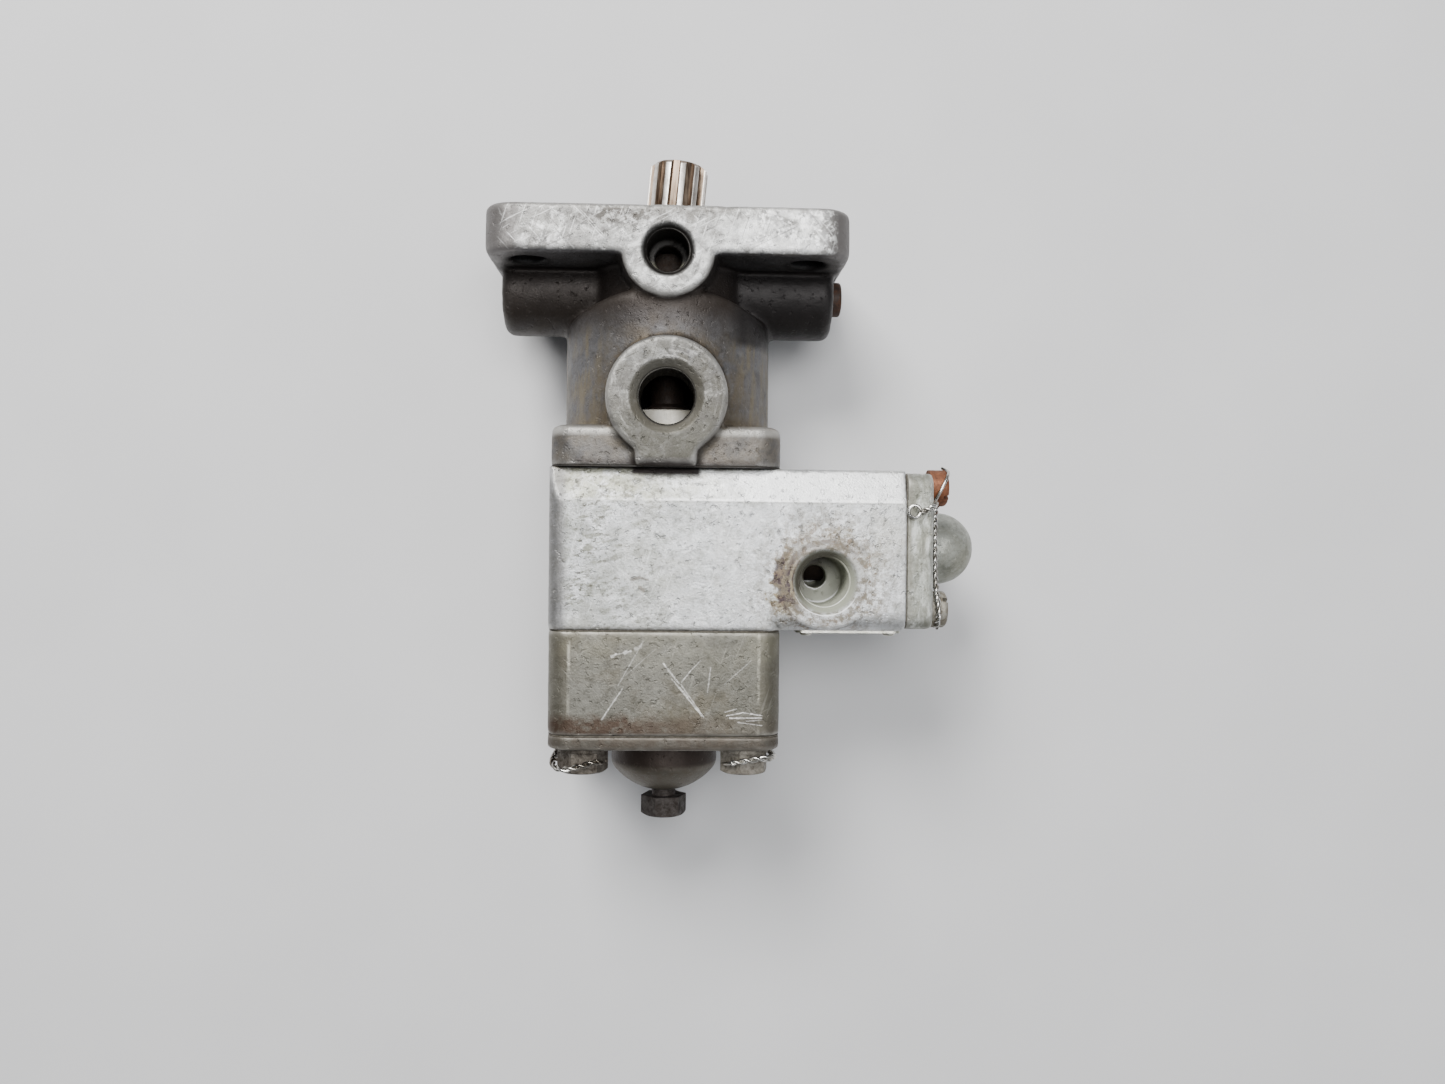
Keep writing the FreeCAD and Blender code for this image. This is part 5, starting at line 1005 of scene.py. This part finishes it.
def block_fields(paint):
    """Distances, directions and strokes that the middle block's marks use."""
    named = paint.named
    named["facing y"] = paint.facing(1)
    named["facing z"] = paint.facing(2)
    away = paint.from_line(*along_z(OUTLET))
    stray = paint.noise(2.4, 6, 0.75, 0.6)
    named["off outlet"] = away
    named["stray"] = stray
    named["leftward"] = paint.sums("DIVIDE", paint.sums("SUBTRACT", named["x"], OUTLET.x), away)
    named["upward"] = paint.sums("DIVIDE", paint.sums("SUBTRACT", named["y"], OUTLET.y), away)
    uneven = paint.share(cloud(3.2, 5, 0.7, 0.35, 0.65, -2.5, 3.5, shift=(15, 2, 8)))
    named["reach"] = paint.sums("ADD", away, uneven)
    named["wave"] = paint.sums("SINE", paint.sums("ADD", paint.product(away, 2.9), paint.product(stray, 9.0)))
    named["slant"] = paint.sums("SUBTRACT", named["x"], named["y"])
    wander = paint.product(paint.sums("SUBTRACT", stray, 0.5), 5.0)
    beside = OUTLET.to_2d()
    core = [paint.stroke(beside + Vector(start), beside + Vector(end), half_width, wander)
            for start, end, half_width in CORE_STROKES]
    nick = [paint.stroke(start, end, half_width, 0.0) for start, end, half_width in NICK_STROKES]
    named["core"] = paint.most(*core)
    named["nick"] = paint.most(*nick)
    paint.name(BLOCK_MASKS)


def block_marks(paint, colour):
    """Brown corrosion round the outlet port, a painted highlight on the bevel, green-grey pitting to the
    left, painted light and shadow in the port, and painted shade at the left corner and under the inlet
    boss's toe.
    """
    return paint.lay(colour, BLOCK_MARKS)


def relief_fields(paint):
    """The height that wavers along the lower block's rust band."""
    paint.named["sagging"] = paint.sums("ADD", paint.named["y"], paint.product(paint.noise(5.0, 4, 0.6), 5.0))


def relief_marks(paint, colour):
    """Light scratches on the lower block, a bright scuff, painted shade on its rounded side edges with
    painted highlight lines beside them, and a rusty band at its lower edge.
    """
    colour = paint.lay(colour, RELIEF_MARKS)
    wobble = paint.product(paint.sums("SUBTRACT", paint.noise(1.0, 4, 0.65), 0.5), 4.5)
    faint = paint.share(cloud(1.4, 4, 0.65, 0.36, 0.6, 0.35, 1.0))
    for start, end, half_width, strength in RELIEF_SCRATCHES:
        line = paint.stroke(start, end, half_width, wobble)
        colour = paint.blend(paint.product(line, faint, strength), colour, RELIEF_SCRATCH_TONE)
    return paint.lay(colour, RELIEF_RUST)


def cover_marks(paint, colour):
    """A rusty plate edge, an oily dome, and the plate's painted shadow on the dome's shoulder."""
    return paint.lay(colour, COVER_MARKS)


def side_marks(paint, colour):
    """Darker green-grey corners on the side cover."""
    return paint.lay(colour, SIDE_MARKS)


def cast_paint(name, tones, metallic, rough, speckle, wear, rubbed, marks, fields=None):
    """Weathered casting: cloudy tone, dark pits, stains, patchy grime and painted shade in sheltered corners,
    painted shade in hollows, rubbed edges.

    The marks add what one piece alone has. Its mask "unworn" says where edges keep no bright wear, and its
    mask "corroded" where corrosion hides the bare metal.
    """
    base, light, dark, stain = tones
    paint = Paint(name, metallic)
    named = paint.named
    for field in ("edge", "hollow", "shelter"):
        named[field] = paint.attribute(field)
    named["spread"] = paint.sums("ABSOLUTE", named["x"])
    if fields:
        fields(paint)
    colour = paint.lay(base, (
        ("lighter clouds", light, cloud(9.0, 5, 0.6, 0.32, 0.7, distort=0.4)),
        ("stains", stain, cloud(16.0, 4, 0.62, 0.48, 0.7, distort=0.8, shift=(31, 7, 3)), 0.6),
        ("pits", dark, cloud(0.9, 6, 0.7, 0.5, 0.7), speckle),
        ("blots", dark, cloud(3.2, 6, 0.72, 0.5, 0.64, distort=0.4, shift=(5, 50, 9)), speckle),
        ("pale spots", times(light, 1.5),
         cloud(2.4, 6, 0.7, 0.54, 0.68, distort=0.3, shift=(25, 5, 19)), 0.4),
        # painted shade with patchy grime in sheltered corners, and painted shade in hollows
        ("sheltered grime", dark, ("shelter", 0.12, 0.75),
         cloud(1.3, 5, 0.65, 0.3, 0.62, 0.55, 1.0, shift=(8, 1, 40)), 0.75),
        ("grime in hollows", times(dark, 0.4), ("hollow", 0.05, 0.5), 0.8),
    ))
    colour = marks(paint, colour)
    if "corroded" in named:
        paint.put(paint.shader.inputs["Metallic"], paint.shares(rest_of("corroded"), metallic))
    uneven = cloud(4.5, 3, 0.5, 0.28, 0.62, 0.25, 1.0, shift=(2, 3, 60))
    worn = paint.shares(("edge", 0.12, 0.55), uneven, wear)
    if "unworn" in named:
        worn = paint.shares(worn, rest_of("unworn"))
    colour = paint.blend(worn, colour, rubbed)
    patchy = paint.share(cloud(5.0, 4, 0.6, 0.3, 0.7, rough - 0.06, rough + 0.1, shift=(9, 9, 1)))
    roughness = paint.sums("ADD", patchy, paint.product(worn, -0.18), clamp=True)
    pits = paint.share(cloud(1.5, 3, 0.6, 0.6, 0.73, 0.0, -1.5, shift=(70, 1, 1)))
    return paint.finish(colour, roughness, paint.sums("ADD", paint.noise(0.55, 4, 0.65), pits), 0.1)


def steel_paint(name, base, dark, metallic, rough):
    """Plain worked steel with faint tool marks and oily blotches."""
    paint = Paint(name, metallic)
    colour = paint.blend(paint.share(cloud(3.0, 5, 0.65, 0.42, 0.68, distort=0.5)), base, dark)
    fine = paint.noise(0.5, 4, 0.6)
    return paint.finish(colour, paint.between(fine, 0.3, 0.7, rough - 0.07, rough + 0.1), fine, 0.02)


def rust_paint(name, base, bright, metallic):
    """Rusty steel: brown scale with orange bloom."""
    paint = Paint(name, metallic)
    bloom = paint.share(cloud(1.6, 6, 0.7, 0.4, 0.66, distort=0.6))
    pits = ("pits", times(base, 0.35), cloud(0.6, 5, 0.7, 0.5, 0.7), 0.6)
    colour = paint.lay(paint.blend(bloom, base, bright), (pits,))
    return paint.finish(colour, paint.between(bloom, 0.0, 1.0, 0.55, 0.85), paint.noise(0.45, 5, 0.7), 0.08)


def spline_paint():
    """Brown oily valleys between narrow bright lands, along the leaning coupling."""
    paint = Paint("spline_steel_paint", 0.9)
    tip = Vector(MOUNTS["drive_spline"]["pos_m"]) / MM
    paint.named["off axis"] = paint.from_line(tip, Vector(MOUNTS["drive_spline"]["axis"]))
    streak = paint.noise(1.1, 4, 0.6, stretch=(1.6, 0.22, 1.6))
    brown = paint.blend(paint.between(streak, 0.35, 0.65), (0.13, 0.088, 0.06), (0.27, 0.21, 0.16))
    colour = paint.lay(brown, (
        ("lands", (0.78, 0.74, 0.69), ("off axis", 7.5, 7.75),
         cloud(2.2, 5, 0.65, 0.3, 0.55, 0.45, 1.0, shift=(4, 4, 4))),
        ("oily foot", (0.03, 0.022, 0.018), ("y", 1.5, -1.0), 0.8),
    ))
    return paint.finish(colour, paint.between(streak, 0.3, 0.7, 0.3, 0.46), streak, 0.03)


def screw_paint():
    """Grey plated screws; the head of the upper front one is orange with rust."""
    paint = Paint("screw_steel_paint", 0.5)
    bloom = paint.share(cloud(1.4, 6, 0.7, 0.4, 0.64, distort=0.6))
    colour = paint.blend(bloom, (0.31, 0.30, 0.26), (0.16, 0.135, 0.10))
    rust = paint.blend(bloom, (0.24, 0.09, 0.04), (0.12, 0.05, 0.03))
    colour = paint.blend(paint.near((COVER_HIGH.x - 14.0, UPPER_SCREW_Y, SCREW_Z), 7.5, 9.0), colour, rust)
    return paint.finish(colour, paint.between(bloom, 0.0, 1.0, 0.5, 0.8), paint.noise(0.45, 5, 0.7), 0.06)


def bolt_paint():
    """Dull brown bolt heads; the pair on the arm's side is the less oily one."""
    paint = Paint("fastener_steel_paint", 0.6)
    bloom = paint.share(cloud(1.6, 6, 0.7, 0.4, 0.66, distort=0.6))
    cleaner = paint.share(("x", 0.0, 1.0))
    plain = paint.blend(cleaner, (0.14, 0.125, 0.105), (0.27, 0.25, 0.215))
    oily = paint.blend(cleaner, (0.04, 0.03, 0.022), (0.10, 0.086, 0.066))
    colour = paint.blend(bloom, plain, oily)
    return paint.finish(colour, paint.between(bloom, 0.0, 1.0, 0.5, 0.8), paint.noise(0.45, 5, 0.7), 0.08)


def wire_paint():
    """Bright stainless wire, dulled by oil on the left bolts except at one rubbed bend."""
    paint = Paint("lockwire_paint", 1.0)
    film = paint.share(cloud(3.0, 4, 0.6, 0.42, 0.62))
    paint.named["rubbed bend"] = paint.near((-25.0, -140.6, 26.2), 2.6, 4.4)
    oil = ("oil", (0.10, 0.082, 0.062), ("x", -10.0, -12.0), rest_of("rubbed bend"), 0.85)
    colour = paint.lay(paint.blend(film, (0.66, 0.65, 0.62), (0.34, 0.32, 0.28)), (oil,))
    return paint.finish(colour, paint.between(film, 0.0, 1.0, 0.2, 0.36), film, 0.02)


CAST_PAINTS = {              # tones, metal, roughness, speckle, edge wear, rubbed edges, marks, fields
    "upper_casting": (
        ((0.082, 0.081, 0.086), (0.14, 0.139, 0.144), (0.022, 0.019, 0.017), (0.095, 0.076, 0.048)),
        0.5, 0.46, 0.45, 0.6, (0.42, 0.41, 0.39), housing_marks, housing_fields,
    ),
    "block_casting": (
        ((0.50, 0.51, 0.52), (0.68, 0.69, 0.70), (0.17, 0.17, 0.14), (0.46, 0.45, 0.40)),
        0.7, 0.44, 0.42, 0.6, (0.86, 0.86, 0.85), block_marks, block_fields,
    ),
    "relief_casting": (
        ((0.135, 0.13, 0.11), (0.205, 0.20, 0.175), (0.04, 0.036, 0.026), (0.125, 0.105, 0.07)),
        0.6, 0.44, 0.45, 0.6, (0.46, 0.44, 0.40), relief_marks, relief_fields,
    ),
    "cover_casting": (
        ((0.08, 0.073, 0.062), (0.13, 0.12, 0.10), (0.022, 0.018, 0.013), (0.08, 0.052, 0.035)),
        0.5, 0.48, 0.45, 0.5, (0.34, 0.32, 0.28), cover_marks,
    ),
    "side_casting": (
        ((0.30, 0.31, 0.28), (0.42, 0.43, 0.39), (0.10, 0.10, 0.075), (0.28, 0.27, 0.20)),
        0.55, 0.48, 0.4, 0.5, (0.66, 0.66, 0.62), side_marks,
    ),
}
RUST_PAINTS = {              # name, tone, bloom, metal
    "gasket_paper": ("gasket_paint", (0.012, 0.010, 0.008), (0.03, 0.024, 0.018), 0.0),
    "worn_gasket": ("worn_gasket_paint", (0.11, 0.097, 0.074), (0.035, 0.028, 0.02), 0.0),
    "dark_steel": ("dark_steel_paint", (0.062, 0.054, 0.05), (0.03, 0.022, 0.018), 0.6),
    "rusty_steel": ("rusty_steel_paint", (0.035, 0.022, 0.016), (0.10, 0.045, 0.025), 0.3),
    "oily_shaft": ("oily_shaft_paint", (0.03, 0.022, 0.018), (0.055, 0.036, 0.026), 0.5),
    "seal_rubber": ("seal_rubber_paint", (0.018, 0.017, 0.017), (0.03, 0.028, 0.027), 0.0),
}
STEEL_PAINTS = {             # name, tone, blotches, metal, roughness
    "plate_metal": ("plate_paint", (0.62, 0.61, 0.55), (0.36, 0.35, 0.28), 1.0, 0.34),
    "shaft_steel": ("shaft_steel_paint", (0.60, 0.59, 0.57), (0.45, 0.44, 0.42), 1.0, 0.25),
    "hub_steel": ("hub_steel_paint", (0.80, 0.77, 0.69), (0.62, 0.58, 0.48), 0.3, 0.5),
    "bearing_steel": ("bearing_steel_paint", (0.70, 0.70, 0.70), (0.6, 0.6, 0.6), 1.0, 0.15),
    "rotor_steel": ("rotor_steel_paint", (0.62, 0.60, 0.56), (0.45, 0.42, 0.38), 1.0, 0.28),
    "bronze": ("bronze_paint", (0.62, 0.42, 0.22), (0.40, 0.25, 0.12), 1.0, 0.35),
    "spring_steel": ("spring_steel_paint", (0.36, 0.35, 0.33), (0.2, 0.17, 0.14), 1.0, 0.35),
}
OWN_PAINT = {                # nodes whose paint isn't their slot's
    "rotor_shaft": "oily_shaft", "coupling_pin": "oily_shaft", "regulator_piston": "oily_shaft",
    "regulator_sleeve": "oily_shaft", "port_plate_upper": "hub_steel", "shaft_seal_case": "oily_shaft",
    "seal_spring": "oily_shaft", "block_gasket": "worn_gasket", "relief_gasket": "worn_gasket",
    "regulator_gasket": "worn_gasket", "adjusting_screw": "dark_steel",
}

MATERIALS = {slot: cast_paint(slot + "_paint", *looks) for slot, looks in CAST_PAINTS.items()}
MATERIALS.update({slot: rust_paint(*looks) for slot, looks in RUST_PAINTS.items()})
MATERIALS.update({slot: steel_paint(*looks) for slot, looks in STEEL_PAINTS.items()})
MATERIALS["fastener_steel"] = bolt_paint()
MATERIALS["screw_steel"] = screw_paint()
MATERIALS["lockwire_steel"] = wire_paint()
MATERIALS["spline_steel"] = spline_paint()


def paint_nodes():
    """Gives every CAD node its slot's surface, or its own."""
    for part in frame["record"]["subparts"]:
        node = NODES[part["node"]]
        node.data.materials.clear()
        node.data.materials.append(MATERIALS[OWN_PAINT.get(part["node"], part["material_slot"])])


SOFT_EDGES = {               # bevel width of the worked metal nodes
    "through_bolts": 0.18, "adjusting_screw": 0.18, "regulator_screws": 0.18, "bolt_washers": 0.18,
    "drive_coupling": 0.12,
}


def soften(node, width):
    """Small rounded edges on a worked metal node."""
    weld = NODES[node].modifiers.new("weld", "WELD")
    weld.merge_threshold = 0.002 * MM
    bevel = NODES[node].modifiers.new("soft_edges", "BEVEL")
    bevel.width = width * MM
    bevel.segments = 2
    bevel.limit_method = "ANGLE"
    bevel.angle_limit = math.radians(35)


# ---- floor, lights and camera ----

CAMERA = Vector((14.4, -83.5, 317.0))
OBJECT_ROLL = math.radians(2.3)
OBJECT_TURN = math.radians(-0.6)
SENSOR_WIDTH = 36.0
FOCAL_SHARE = 1168 / 1445    # focal length as a share of the picture's width
FLOOR_SIZE = 6.0
FLOOR_GAP = 0.0002
FLOOR_TONES = ((0.66, 0.66, 0.67), (0.70, 0.70, 0.71))
LIGHT_AIM = Vector((0.01, -0.07, 0))
LIGHTS = (                   # name, place, size, power, colour: a large key, a weak fill and one from above
    ("key", (-0.30, 0.60, 0.80), 0.45, 17.0, (1.0, 0.99, 0.97)),
    ("fill", (0.7, -0.5, 0.7), 0.8, 2.0, (0.93, 0.96, 1.0)),
    ("over", (0.10, 0.10, 1.1), 0.5, 9.0, (1.0, 1.0, 1.0)),
)
SURROUND = (0.75, 0.78, 0.82, 1.0)
SURROUND_STRENGTH = 0.16


def make_camera():
    """The camera above the pump, with the pump's slight roll and turn given to the camera instead."""
    data = bpy.data.cameras.new("camera")
    data.sensor_width = SENSOR_WIDTH
    data.lens = SENSOR_WIDTH * FOCAL_SHARE
    camera = bpy.data.objects.new("camera", data)
    bpy.context.scene.collection.objects.link(camera)
    lean = Matrix.Rotation(OBJECT_TURN, 4, "Z") @ Matrix.Rotation(OBJECT_ROLL, 4, "Y")
    camera.matrix_world = lean.inverted() @ Matrix.Translation(CAMERA * MM)
    bpy.context.scene.camera = camera


def make_floor():
    """A plain pale floor under the pump."""
    bpy.ops.mesh.primitive_plane_add(size=FLOOR_SIZE, location=(0, 0, BLOCK_LOW.z * MM - FLOOR_GAP))
    floor = bpy.context.object
    floor.name = "floor"
    paint = Paint("floor_paint", 0.0)
    tone = paint.blend(paint.share(cloud(60.0, 3, 0.5, 0.3, 0.7)), *FLOOR_TONES)
    paint.put(paint.shader.inputs["Base Color"], tone)
    paint.put(paint.shader.inputs["Roughness"], 0.8)
    floor.data.materials.append(paint.material)


def make_lights():
    """The soft square lights and a dim surround."""
    for name, place, size, power, colour in LIGHTS:
        data = bpy.data.lights.new(name, "AREA")
        data.shape = "SQUARE"
        data.size = size
        data.energy = power
        data.color = colour
        lamp = bpy.data.objects.new(name, data)
        bpy.context.scene.collection.objects.link(lamp)
        lamp.location = place
        lamp.rotation_mode = "QUATERNION"
        lamp.rotation_quaternion = (LIGHT_AIM - Vector(place)).to_track_quat("-Z", "Y")
    world = bpy.data.worlds.new("surround")
    world.use_nodes = True
    world.node_tree.nodes["Background"].inputs["Color"].default_value = SURROUND
    world.node_tree.nodes["Background"].inputs["Strength"].default_value = SURROUND_STRENGTH
    bpy.context.scene.world = world


make_camera()
make_floor()
make_lights()
paint_nodes()
for node, paint, *settings in CASTINGS:
    casting_skin(node, MATERIALS[paint], *settings)
for settings in THREADS:
    thread_sleeve(*settings)
make_bolt_wires()
make_side_wire()
for node, width in SOFT_EDGES.items():
    soften(node, width)
